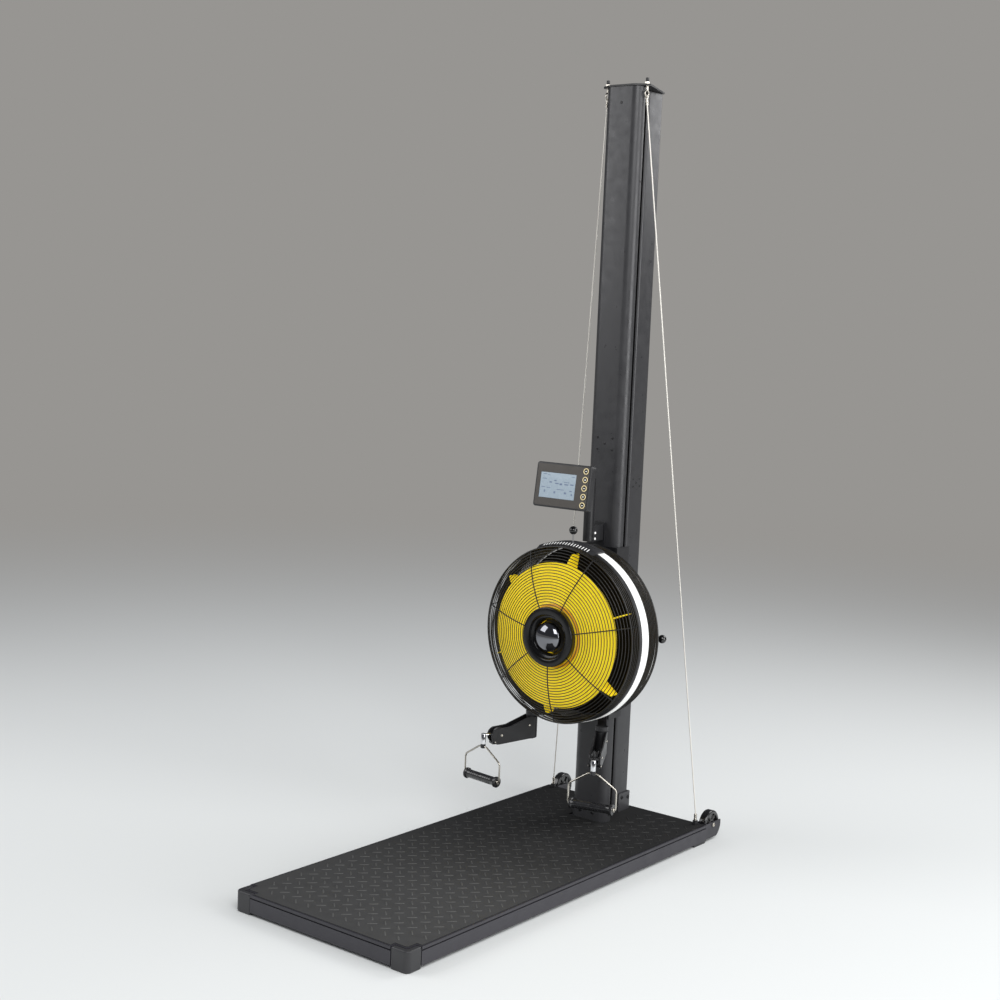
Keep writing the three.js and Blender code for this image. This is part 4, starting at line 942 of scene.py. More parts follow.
@dataclass
class TransportWheels:
    """The two wheels behind the deck, each in its housing."""

    plate: float = 4 * MM
    lip: float = 1 * MM
    flange: float = 3 * MM
    flange_width: float = 16 * MM
    strap: float = 22 * MM
    gap: float = 0.8 * MM
    axle: float = 6 * MM
    axle_gap: float = 0.5 * MM
    # The wheel's washer is a black ring round the bright bolt: painted shade for the shadow round the bolt's
    # head.
    washer: float = 9 * MM
    washer_height: float = 0.9 * MM
    bolt: float = 6.2 * MM
    bolt_height: float = 2 * MM
    hub_share: float = 0.36
    web_share: float = 0.74
    tread: float = 5 * MM
    recess: float = 5 * MM
    round_over: float = 1 * MM
    ribs: int = 6
    rib_width: float = 3 * MM
    rib_inset: float = 1.5 * MM

    def build(self) -> None:
        """Build both sides."""
        for side in Side:
            self.wheel(side)
            self.housing(side)

    def wheel(self, side: Side) -> None:
        """Build a wheel with a round tread, a hub and a ribbed recess at each side.

        Args:
            side: The side it turns on.
        """
        block = Block.of(f"transport_wheel_{side}")
        radius, half = block.size.z / 2, block.size.x / 2
        bore, hub, web = self.axle + self.axle_gap, self.hub_share * radius, self.web_share * radius
        floor, soft = half - self.recess, self.round_over
        right = [
            (bore, half), (hub - soft, half), (hub, half - soft), (hub + soft, floor),
            (web - 2 * soft, floor), (web, half - soft), (web + 1.5 * soft, half),
            *arc((radius - self.tread, half - self.tread), self.tread, 90, 0),
        ]
        place = Axis.X.at(block.centre)
        wheel = Shaper().turned(mirrored(right), place, steps=72)
        for i in range(self.ribs):
            turn = place @ Matrix.Rotation(FULL_TURN * i / self.ribs, 4, "Z")
            for low, high in ((floor - soft, half - self.rib_inset), (self.rib_inset - half, soft - floor)):
                wheel.slab(Vector((hub, -self.rib_width / 2, low)), Vector((web, self.rib_width / 2, high)),
                           turn)
        wheel.piece(f"transport_wheel_{side}_tyre", WHEEL_GLOSS, f"wheel_{side}",
                    (f"transport_wheel_{side}",), crease=30)

    def housing(self, side: Side) -> None:
        """Build the housing: outer plate, inner strap with its flange, axle and bolt.

        Args:
            side: The side it stands on.
        """
        block = Block.of(f"wheel_housing_{side}")
        wheel = Block.of(f"transport_wheel_{side}")
        axis = wheel.centre
        place = Matrix.Translation(axis) @ Matrix(((0, 0, side.value), (1, 0, 0), (0, 1, 0))).to_4x4()
        reach, half = wheel.size.z / 2 + self.lip, self.strap / 2
        start, low = block.low.y - axis.y, block.low.z - axis.z
        high, top = Block.of("deck_board").high.z - axis.z, Block.of("rear_rail").high.z - axis.z
        near = wheel.size.x / 2 + self.gap
        face, middle = near + self.plate, near + self.plate / 2
        foot = start + self.flange
        curve = arc((0, 0), reach, *(math.degrees(math.asin(z / reach)) for z in (low, high)), 28)
        strap = [(start, -half), *arc((half / 2, 0), half, -60, 60), (start, half)]
        flange = [(start, low), (foot, low), (foot, top), (start, top)]
        build = Shaper().raised([(start, low), *curve, (start, high)], near, face, place)
        build.raised(strap, -face, -near, place)
        build.raised(flange, -face - self.flange_width, -near, place)
        build.turned(bush(0, self.axle, -middle, middle), place, steps=24)
        build.piece(f"wheel_housing_{side}_shell", RAIL_PAINT, "base", (f"wheel_housing_{side}",),
                    edge=0.6 * MM)
        seat = axis + side.outward * face
        head = seat + side.outward * self.washer_height
        # A black ring under the bright bolt: painted shade for the bolt's shadow.
        washer = Shaper().rod(seat, head, self.washer, sides=40, chamfer=0.3 * MM)
        washer.piece(f"wheel_axle_washer_{side}", BLACK_PLASTIC, "base", crease=30)
        bolt = Shaper().screw(head, side.outward, self.bolt, self.bolt_height)
        bolt.piece(f"wheel_axle_bolt_{side}", STEEL, "base", crease=30)


@dataclass
class Mast:
    """The mast: front channel, rear tube with its spine, foot, bracket, top plate and brace cables."""

    channel_corner: float = 27 * MM
    channel_wall: float = 3 * MM
    lip: float = 14 * MM
    tube_corner: float = 9 * MM
    tube_width: float = 55 * MM
    tube_front: float = 35 * MM
    tube_depth: float = 80 * MM
    spine: float = 8 * MM
    # The strip on the tube's front is painted shade: its half thickness, and how far it reaches past the
    # tube's rounded corners.
    track: float = 1 * MM
    track_lip: float = 3.5 * MM
    collar_wall: float = 3.5 * MM
    collar_gap: float = 0.3 * MM
    screw_radius: float = 4.2 * MM
    screw_height: float = 0.8 * MM
    # Screws are in millimetres: X and Z on the channel's front, and Y from middle() and Z elsewhere.
    front_screws: tuple[Pair, ...] = ((0, 1180), (-26, 1197), (26, 1197), (-26, 1163), (26, 1163), (0, 2155))
    side_screw: Pair = (26, 1935)
    tube_screws: tuple[Pair, ...] = ((57, 1050), (57, 1072), (92, 1050), (92, 1072), (74, 1061))
    bracket_screws: tuple[Pair, ...] = ((78, 97), (111, 93))
    collar_screw: Pair = (22 * MM, 8 * MM)
    rope_radius: float = 2 * MM
    rope_gap: float = 0.4 * MM
    strands: int = 6
    lay: float = 26 * MM
    lay_steps: int = 8
    loop: float = 4.6 * MM
    ferrule: float = 4 * MM
    ferrule_length: float = 18 * MM
    press: float = 0.5 * MM
    ring: float = 9 * MM
    ring_wire: float = 2.2 * MM
    shank: float = 4 * MM
    washer: float = 7 * MM
    washer_height: float = 7 * MM
    cap_radius: float = 4.8 * MM
    block_half: float = 6.1 * MM
    block_height: float = 15 * MM
    block_corner: float = 2.4 * MM
    fitting: float = 4.5 * MM

    def build(self) -> None:
        """Build the mast."""
        self.channel()
        self.tube()
        keep("mast_rear_bracket", MAST_PAINT)
        self.collar()
        keep("top_plate", BLACK_PAINT)
        self.screws()
        for side in Side:
            self.rope(side)
            self.top_eye(side)
            self.anchor(side)

    def middle(self) -> float:
        """The Y that the places along the mast's depth are measured from."""
        return Block.of("mast_rear_tube").high.y - self.tube_front - self.tube_depth

    def channel_outline(self, gap: float, wall: float, lip: float) -> Outline:
        """Give the section of the channel, or of a band that wraps it.

        Args:
            gap: How far the outside of the section lies outside the channel's own outside.
            wall: The wall's thickness.
            lip: How far the rear edges turn in, or 0 for a section that has none.

        Returns:
            The outline in X and Y.
        """
        block = Block.of("mast_front_channel")
        half, rear = block.size.x / 2, block.high.y
        corner = self.channel_corner
        x, y = half - corner, block.low.y + corner
        outer, inner = corner + gap, corner + gap - wall
        if lip:
            ends = [(half - lip, rear), (half - lip, rear - wall), (half - wall, rear - wall)]
        else:
            ends = [(half + gap - wall, rear)]
        return [
            (-half - gap, rear), *arc((-x, y), outer, 180, 270, 14), *arc((x, y), outer, 270, 360, 14),
            (half + gap, rear), *ends, *arc((x, y), inner, 360, 270, 14), *arc((-x, y), inner, 270, 180, 14),
            *((-across, back) for across, back in reversed(ends)),
        ]

    def channel(self) -> None:
        """Build the folded channel."""
        block = Block.of("mast_front_channel")
        outline = self.channel_outline(0, self.channel_wall, self.lip)
        build = Shaper().raised(outline, block.low.z, block.high.z)
        build.piece("mast_front_channel_sheet", MAST_PAINT, "base", ("mast_front_channel",),
                    edge=0.7 * MM, crease=60)

    def tube(self) -> None:
        """Build the rear tube, and the spine and strip between it and the channel, both near-black as
        painted shade of the gap between them.
        """
        block = Block.of("mast_rear_tube")
        half, front = self.tube_width / 2, self.middle() + self.tube_front
        middle = (front + block.high.y) / 2
        outline = rounded_box(self.tube_width, block.high.y - front, self.tube_corner, 8)
        build = Shaper().raised([(x, y + middle) for x, y in outline], block.low.z, block.high.z)
        build.piece("mast_rear_tube_section", MAST_PAINT, "base", ("mast_rear_tube",),
                    edge=0.6 * MM, crease=60)
        # The spine and a thin strip on the tube's front are near-black: painted shade where the gap between
        # the channel and the tube lies in shadow.
        spine, reach = self.spine / 2, half - self.tube_corner + self.track_lip
        web = Shaper().slab(Vector((-spine, block.low.y, block.low.z)),
                            Vector((spine, front + self.tube_corner, block.high.z)))
        web.slab(Vector((-reach, front - self.track, block.low.z)),
                 Vector((reach, front + self.track, block.high.z)))
        web.piece("mast_rear_tube_web", PAINTED_SHADE_BLACK, "base", edge=0.4 * MM)

    def collar(self) -> None:
        """Build the collar that wraps the foot of the channel."""
        block = Block.of("mast_foot_collar")
        outline = self.channel_outline(self.collar_gap + self.collar_wall, self.collar_wall, 0)
        build = Shaper().raised(outline, block.low.z, block.high.z)
        build.piece("mast_foot_collar_band", MAST_PAINT, "base", ("mast_foot_collar",),
                    edge=0.8 * MM, crease=60)

    def screws(self) -> None:
        """Put in the screws that show on the channel, the tube, the collar and the bracket."""
        channel = Block.of("mast_front_channel")
        collar = Block.of("mast_foot_collar")
        bracket = Block.of("mast_rear_bracket")
        forward = Vector((0, -1, 0))
        across, from_rear = self.collar_screw
        small = (self.screw_radius, self.screw_height)
        dark = Shaper()
        for x, z in self.front_screws:
            dark.screw(Vector((x * MM, channel.low.y, z * MM)), forward, *small)
        y, z = self.side_screw
        dark.screw(Vector((channel.high.x, channel.low.y + y * MM, z * MM)), Side.RIGHT.outward, *small)
        for side in Side:
            for screws, half, radius, height in (
                    (self.tube_screws, self.tube_width / 2, *small),
                    (self.bracket_screws, bracket.size.x / 2, 1.5 * self.screw_radius, 2.4 * MM)):
                for y, z in screws:
                    place = Vector((side.value * half, self.middle() + y * MM, z * MM))
                    dark.screw(place, side.outward, radius, height)
            for place, outward in (
                    ((side.value * collar.size.x / 2, collar.high.y - from_rear), side.outward),
                    ((side.value * across, collar.low.y), forward)):
                dark.screw(Vector((*place, collar.centre.z)), outward, 1.3 * self.screw_radius, 2 * MM)
        dark.piece("mast_screws", BLACK_PAINT, "base", crease=30)

    def rope(self, side: Side) -> None:
        """Lay up a brace cable from its strands, with a loop and a pressed ferrule at the top.

        Args:
            side: The side it runs down.
        """
        top = Block.of(f"eye_bolt_{side}")
        bottom = Block.of(f"cable_anchor_{side}")
        block = Block.of(f"brace_cable_{side}")
        loop = self.loop
        high = Vector((top.centre.x, top.centre.y, block.high.z - loop - self.rope_radius))
        end = Vector((bottom.centre.x, bottom.centre.y, bottom.high.z + self.rope_gap))
        down = (end - high).normalized()
        start = high + down * loop
        rope = Shaper().loft(self.strand_rings(facing(start, end), (end - start).length))
        across = down.cross(Vector((1, 0, 0))).normalized()
        rope.hoop(loop, self.rope_radius * 0.95, facing(high, high + across), steps=32, sides=10)
        rope.piece(f"brace_cable_{side}_rope", ROPE_STEEL, "base", (f"brace_cable_{side}",), crease=60)
        near = start - down * self.press
        ferrule = Shaper().turned(self.ferrule_section(), facing(near, near + down), steps=24)
        ferrule.piece(f"brace_cable_{side}_ferrule", STEEL, "base", crease=40)

    def strand_rings(self, place: Matrix, length: float) -> list[list[Vector]]:
        """Give the rings of points that the strands of a rope make along it.

        Args:
            place: Where the rope starts and which way it runs.
            length: Its length.

        Returns:
            The rings from its start to its end.
        """
        count = round(length / self.lay * self.lay_steps)
        sides = self.strands * 3
        angles = [FULL_TURN * k / sides for k in range(sides)]
        bulges = [self.rope_radius * (0.9 + 0.1 * math.cos(self.strands * angle)) for angle in angles]
        rings = []
        for i in range(count + 1):
            turn, z = FULL_TURN * i / self.lay_steps, length * i / count
            rings.append([place @ Vector((r * math.cos(a + turn), r * math.sin(a + turn), z))
                          for a, r in zip(angles, bulges)])
        return rings

    def ferrule_section(self) -> Outline:
        """Give the turned section of a ferrule with its three pressed grooves.

        Returns:
            The section's points of radius and height.
        """
        radius, length, press = self.ferrule, self.ferrule_length, self.press
        section = [(0, 0), (radius - press, 0), (radius, press)]
        for share in (0.25, 0.5, 0.75):
            middle = share * length
            section += [(radius, middle - 1.6 * press), (radius - press, middle - press),
                        (radius - press, middle + press), (radius, middle + 1.6 * press)]
        return [*section, (radius, length - press), (radius - press, length), (0, length)]

    def top_eye(self, side: Side) -> None:
        """Build the eye bolt in the top plate with its bright six-sided washer and its dark cap.

        Args:
            side: The side it hangs on.
        """
        bolt = Block.of(f"eye_bolt_{side}")
        ring, wire, up = self.ring, self.ring_wire, Vector((0, 0, 1))
        centre = Vector((bolt.centre.x, bolt.centre.y, bolt.low.z + ring + wire))
        seat = Vector((centre.x, centre.y, Block.of("top_plate").high.z + 0.3 * MM))
        steel = Shaper().hoop(ring, wire, Axis.X.at(centre), steps=40, sides=12)
        steel.rod(centre + ring * up, seat + self.washer_height * up, self.shank)
        steel.hexagon(seat, up, self.washer, self.washer_height)
        steel.piece(f"eye_bolt_{side}_steel", STEEL, "base", (f"eye_bolt_{side}",), crease=30)
        base, wide = seat + (self.washer_height + 0.1 * MM) * up, self.cap_radius
        dark = Shaper().rod(base, Vector((base.x, base.y, bolt.high.z)), wide, sides=28, chamfer=0.2 * wide)
        dark.piece(f"eye_bolt_{side}_cap", BLACK_PLASTIC, "base")

    def anchor(self, side: Side) -> None:
        """Build the cable's anchor on the deck: a dark block with a bright fitting on top.

        Args:
            side: The side it stands on.
        """
        box = Block.of(f"cable_anchor_{side}")
        foot = Vector((box.centre.x, box.centre.y, box.low.z))
        width, height = 2 * self.block_half, self.block_height
        block = Shaper().raised(rounded_box(width, width, self.block_corner), 0, height, Axis.Z.at(foot))
        block.piece(f"cable_anchor_{side}_block", BLACK_PLASTIC, "base", edge=0.6 * MM)
        radius, rise, sunk = self.fitting, box.size.z - height, -1 * MM
        profile = [
            (0, sunk), (radius, sunk), (radius, 0.3 * rise), (0.82 * radius, 0.36 * rise),
            (0.82 * radius, 0.44 * rise), (radius, 0.5 * rise), (radius, 0.86 * rise),
            (0.66 * radius, rise), (0, rise),
        ]
        fitting = Shaper().turned(profile, Axis.Z.at(foot + Vector((0, 0, height))), steps=28)
        fitting.piece(f"cable_anchor_{side}_fitting", STEEL, "base", (f"cable_anchor_{side}",), crease=30)


@dataclass
class Carriage:
    """The sliding unit's plate and cheeks, and the height lock."""

    hub: float = 5.7 * MM
    bore: float = 3 * MM
    hub_half: float = 4.5 * MM
    stem: float = 3 * MM
    stem_start: float = 4 * MM

    def build(self) -> None:
        """Build the carriage."""
        for node in ("carriage_plate", "carriage_cheek_left", "carriage_cheek_right"):
            keep(node, BLACK_PAINT)
        self.lock()

    def lock(self) -> None:
        """Build the height lock's hub, stem and ball."""
        pivot = joint_place("lock_lever_lift")
        block = Block.of("height_lock_lever")
        radius = block.size.z / 2
        ball = Vector((block.high.x - radius, pivot.y, pivot.z))
        hub = bush(self.bore, self.hub, -self.hub_half, self.hub_half)
        stem = Shaper().turned(hub, Axis.Y.at(pivot), steps=24)
        stem.rod(pivot + Vector((self.stem_start, 0, 0)), ball, self.stem)
        stem.piece("height_lock_stem", BLACK_PAINT, "lock_lever", crease=30)
        knob = Shaper().ball(ball, radius)
        knob.piece("height_lock_ball", KNOB_GLOSS, "lock_lever", ("height_lock_lever",), crease=60)


def fan_centre() -> Vector:
    """The point where the fan's axis meets the front of the cage."""
    shaft = Block.of("fan_shaft")
    return Vector((shaft.centre.x, Block.of("cage_front_grille").low.y, shaft.centre.z))


def on_fan_axis(y: float) -> Matrix:
    """The placing matrix of a form that is turned about the fan's axis and starts at a Y."""
    centre = fan_centre()
    return Axis.Y.at(Vector((centre.x, y, centre.z)))


def around_fan(radius: float, y: float, angle: float) -> Vector:
    """The point at a radius and an angle about the fan's axis."""
    centre = fan_centre()
    return Vector((centre.x + radius * math.cos(angle), y, centre.z + radius * math.sin(angle)))


@dataclass
class FanCage:
    """The wire cage round the fan: front grille, side with its hoop, rear grille and hub ring."""

    wire: float = 1.25 * MM
    rim: float = 2.4 * MM
    front_rings: int = 21
    ahead_rings: int = 4
    behind_rings: int = 7
    ring_gap: float = 0.7
    spokes: int = 7
    first_spoke: float = 13.0
    spoke_steps: int = 8
    spoke_wire: float = 1.4
    bar_wire: float = 1.1
    inner: float = 84 * MM
    side_inset: float = 2.2 * MM
    hoop_ahead: float = 6 * MM
    hoop_behind: float = 3 * MM
    hoop_wall: float = 3 * MM
    hoop_edge: float = 0.8 * MM
    rear_hub: float = 246 * MM
    rear_bore: float = 10.5 * MM
    rear_plate: float = 1.5 * MM
    peg_spread: float = 36 * MM
    peg: float = 6 * MM
    ring_section: tuple[Pair, ...] = ((67, 0), (65, 1.2), (64, 4), (61, 8), (57, 9), (54.5, 10.5), (51, 16),
                                      (48, 19), (48, 21), (51, 22))

    def build(self) -> None:
        """Build the cage."""
        self.front()
        self.side()
        self.rear()
        self.hub_ring()

    def station(self, share: float) -> Pair:
        """Give the radius and Y of the front grille.

        Args:
            share: From 0 at the hub ring to 1 at the rim.

        Returns:
            The radius and the Y.
        """
        grille = Block.of("cage_front_grille")
        outer = grille.size.x / 2 - self.rim
        y0, y1 = grille.low.y + self.wire, grille.high.y - self.rim
        return self.inner + (outer - self.inner) * share, y0 + (y1 - y0) * share ** 2

    def spoke_angles(self) -> list[float]:
        """The angles of the spokes in radians, from X towards up."""
        return [math.radians(self.first_spoke) + FULL_TURN * i / self.spokes for i in range(self.spokes)]

    def front(self) -> None:
        """Build the rings and spokes of the front grille."""
        grille = Shaper()
        for i in range(self.front_rings):
            radius, y = self.station(i / self.front_rings)
            grille.hoop(radius, self.wire, on_fan_axis(y))
        radius, y = self.station(1)
        grille.hoop(radius, self.rim, on_fan_axis(y), sides=8)
        stations = [self.station(k / self.spoke_steps) for k in range(self.spoke_steps + 1)]
        for angle in self.spoke_angles():
            path = [around_fan(radius, y + self.wire, angle) for radius, y in stations]
            grille.tube(path, self.wire * self.spoke_wire, sides=8)
        grille.piece("cage_front_grille_wires", CAGE_WIRE, "carriage", ("cage_front_grille",), crease=80)

    def side(self) -> None:
        """Build the side rings, the bars that tie them and the solid hoop."""
        block, shutter = Block.of("cage_side"), Block.of("air_shutter")
        front, rear = Block.of("cage_front_grille").high.y, block.high.y
        outer = block.size.x / 2
        radius = outer - self.side_inset
        hoop_front, hoop_rear = shutter.low.y - self.hoop_ahead, shutter.high.y + self.hoop_behind
        places = [front + (hoop_front - front) * (i + self.ring_gap) / self.ahead_rings
                  for i in range(self.ahead_rings)]
        places += [hoop_rear + (rear - self.wire - hoop_rear) * (i + 0.8) / (self.behind_rings - 0.2)
                   for i in range(self.behind_rings)]
        wires = Shaper()
        for y in places:
            wires.hoop(radius, self.wire, on_fan_axis(y))
        inside = radius - 2 * self.wire
        for angle in self.spoke_angles():
            wires.rod(around_fan(inside, front, angle), around_fan(inside, rear, angle),
                      self.wire * self.bar_wire, sides=8)
        wires.piece("cage_side_wires", CAGE_WIRE, "carriage", ("cage_side",), crease=80)
        section = bush(outer - self.hoop_wall, outer, 0, hoop_rear - hoop_front, self.hoop_edge)
        hoop = Shaper().turned(section, on_fan_axis(hoop_front), steps=160)
        hoop.piece("cage_side_hoop", BLACK_PLASTIC, "carriage", crease=50)

    def rear(self) -> None:
        """Build the rear grille with its plate and the four pegs to the carriage."""
        block = Block.of("cage_rear_grille")
        y = block.low.y + self.rim
        outer, hub = block.size.x / 2 - self.rim, self.rear_hub
        grille = Shaper().hoop(outer, self.rim, on_fan_axis(y), sides=8)
        grille.hoop((hub + outer) / 2, self.wire, on_fan_axis(y), steps=112)
        for angle in self.spoke_angles():
            grille.rod(around_fan(hub - 4 * MM, y, angle), around_fan(outer, y, angle),
                       self.wire * self.bar_wire, sides=8)
        centre = fan_centre()
        for x in (centre.x - self.peg_spread, centre.x + self.peg_spread):
            for z in (centre.z - self.peg_spread, centre.z + self.peg_spread):
                grille.rod(Vector((x, y, z)), Vector((x, block.high.y, z)), self.peg)
        grille.piece("cage_rear_grille_wires", CAGE_WIRE, "carriage", ("cage_rear_grille",), crease=40)
        # The plate behind the blades is near-black: painted shade for the dark inside of the cage.
        disc = bush(self.rear_bore, hub, -self.rear_plate, self.rear_plate)
        plate = Shaper().turned(disc, on_fan_axis(y), steps=96)
        plate.piece("cage_rear_plate", CAGE_SHADE_BLACK, "carriage", crease=40)

    def hub_ring(self) -> None:
        """Build the moulded ring in the middle of the front grille."""
        block = Block.of("hub_ring")
        outer, back = block.size.x / 2, block.size.y
        profile = [
            (outer - 3 * MM, back), (outer, 12 * MM), (outer, 3.4 * MM), (outer - 1.2 * MM, 1 * MM),
            (outer - 4 * MM, 0), *((r * MM, z * MM) for r, z in self.ring_section), (64 * MM, back),
        ]
        ring = Shaper().turned(profile, on_fan_axis(block.low.y), steps=128)
        ring.piece("hub_ring_moulding", RING_PLASTIC, "carriage", ("hub_ring",), crease=32)


@dataclass
class AirShutter:
    """The white air band, its lever and the scale block on top of the cage."""

    band_wall: float = 1.8 * MM
    band_inset: float = 3.5 * MM
    band_start: float = -90.0
    band_sweep: float = 194.0
    ball: float = 12.2 * MM
    stem: float = 2.6 * MM
    scale_half: float = 22.0
    scale_wall: float = 4.5 * MM
    scale_gap: float = 0.3 * MM
    scale_slope: float = 16 * MM
    slot_half: float = 17.0
    slot_width: float = 9 * MM
    ticks: int = 17
    tick_width: float = 0.6
    tick_proud: float = 0.15 * MM

    def build(self) -> None:
        """Build the shutter."""
        self.band()
        self.lever()
        self.scale()

    def band(self) -> None:
        """Build the band that turns on the hoop."""
        block = Block.of("air_shutter")
        outer = block.high.x - fan_centre().x
        inner = outer - self.band_wall
        low, high = self.band_inset, block.size.y - self.band_inset
        profile = [(inner, low), (outer - 0.4 * MM, low), (outer, low + 0.6 * MM), (outer, high - 0.6 * MM),
                   (outer - 0.4 * MM, high), (inner, high)]
        band = Shaper().turned(profile, on_fan_axis(block.low.y), steps=180, start=self.band_start,
                               sweep=self.band_sweep)
        band.piece("air_shutter_band", WHITE_PLASTIC, "shutter", ("air_shutter",), crease=40)

    def lever(self) -> None:
        """Build the bright stem and its ball."""
        block = Block.of("shutter_lever")
        ball = Vector((block.centre.x, block.centre.y, block.high.z - self.ball))
        stem = Shaper().rod(Vector((ball.x, ball.y, block.low.z)), ball, self.stem)
        stem.piece("shutter_lever_stem", CHROME, "shutter", crease=30)
        knob = Shaper().ball(ball, self.ball)
        knob.piece("shutter_lever_ball", KNOB_GLOSS, "shutter", ("shutter_lever",), crease=60)

    def scale(self) -> None:
        """Build the scale block with its slot and white ticks."""
        block = Block.of("shutter_scale")
        top = block.high.z - fan_centre().z
        inner = top - self.scale_wall
        foot = Block.of("cage_side").size.x / 2 + self.scale_gap
        depth, face = block.size.y, self.scale_slope
        heel = Block.of("air_shutter").low.y - 0.8 * MM - block.low.y
        slot_low = Block.of("shutter_lever").centre.y - self.slot_width / 2 - block.low.y
        slot_high = slot_low + self.slot_width
        place = on_fan_axis(block.low.y)
        front = [(foot, 0), (foot + 1 * MM, 0), (top - 0.6 * MM, face - 1 * MM), (top, face),
                 (top, slot_low), (inner, slot_low), (inner, heel), (foot, heel)]
        back = [(inner, slot_high), (top, slot_high), (top, depth - 0.6 * MM), (top - 0.6 * MM, depth),
                (inner, depth)]
        middle = [(inner, slot_low), (top, slot_low), (top, slot_high), (inner, slot_high)]
        start, sweep, end = 90 - self.scale_half, 2 * self.scale_half, self.scale_half - self.slot_half
        build = Shaper()
        for section, first, length in ((front, start, sweep), (back, start, sweep), (middle, start, end),
                                       (middle, 90 + self.slot_half, end)):
            build.turned(section, place, steps=160, start=first, sweep=length)
        build.piece("shutter_scale_block", BLACK_PLASTIC, "carriage", ("shutter_scale",))
        lift = self.tick_proud
        tick = [(foot + 2.2 * MM + lift, 2.6 * MM), (top - 1.1 * MM + lift, face - 2.2 * MM),
                (top - 1.6 * MM, face - 2.2 * MM), (foot + 1.7 * MM, 2.6 * MM)]
        marks = Shaper()
        for i in range(self.ticks):
            angle = 90 + self.slot_half * (2 * i / (self.ticks - 1) - 1)
            marks.turned(tick, place, steps=720, start=angle - self.tick_width / 2, sweep=self.tick_width)
        marks.piece("shutter_scale_ticks", TICK_WHITE, "carriage", crease=30)


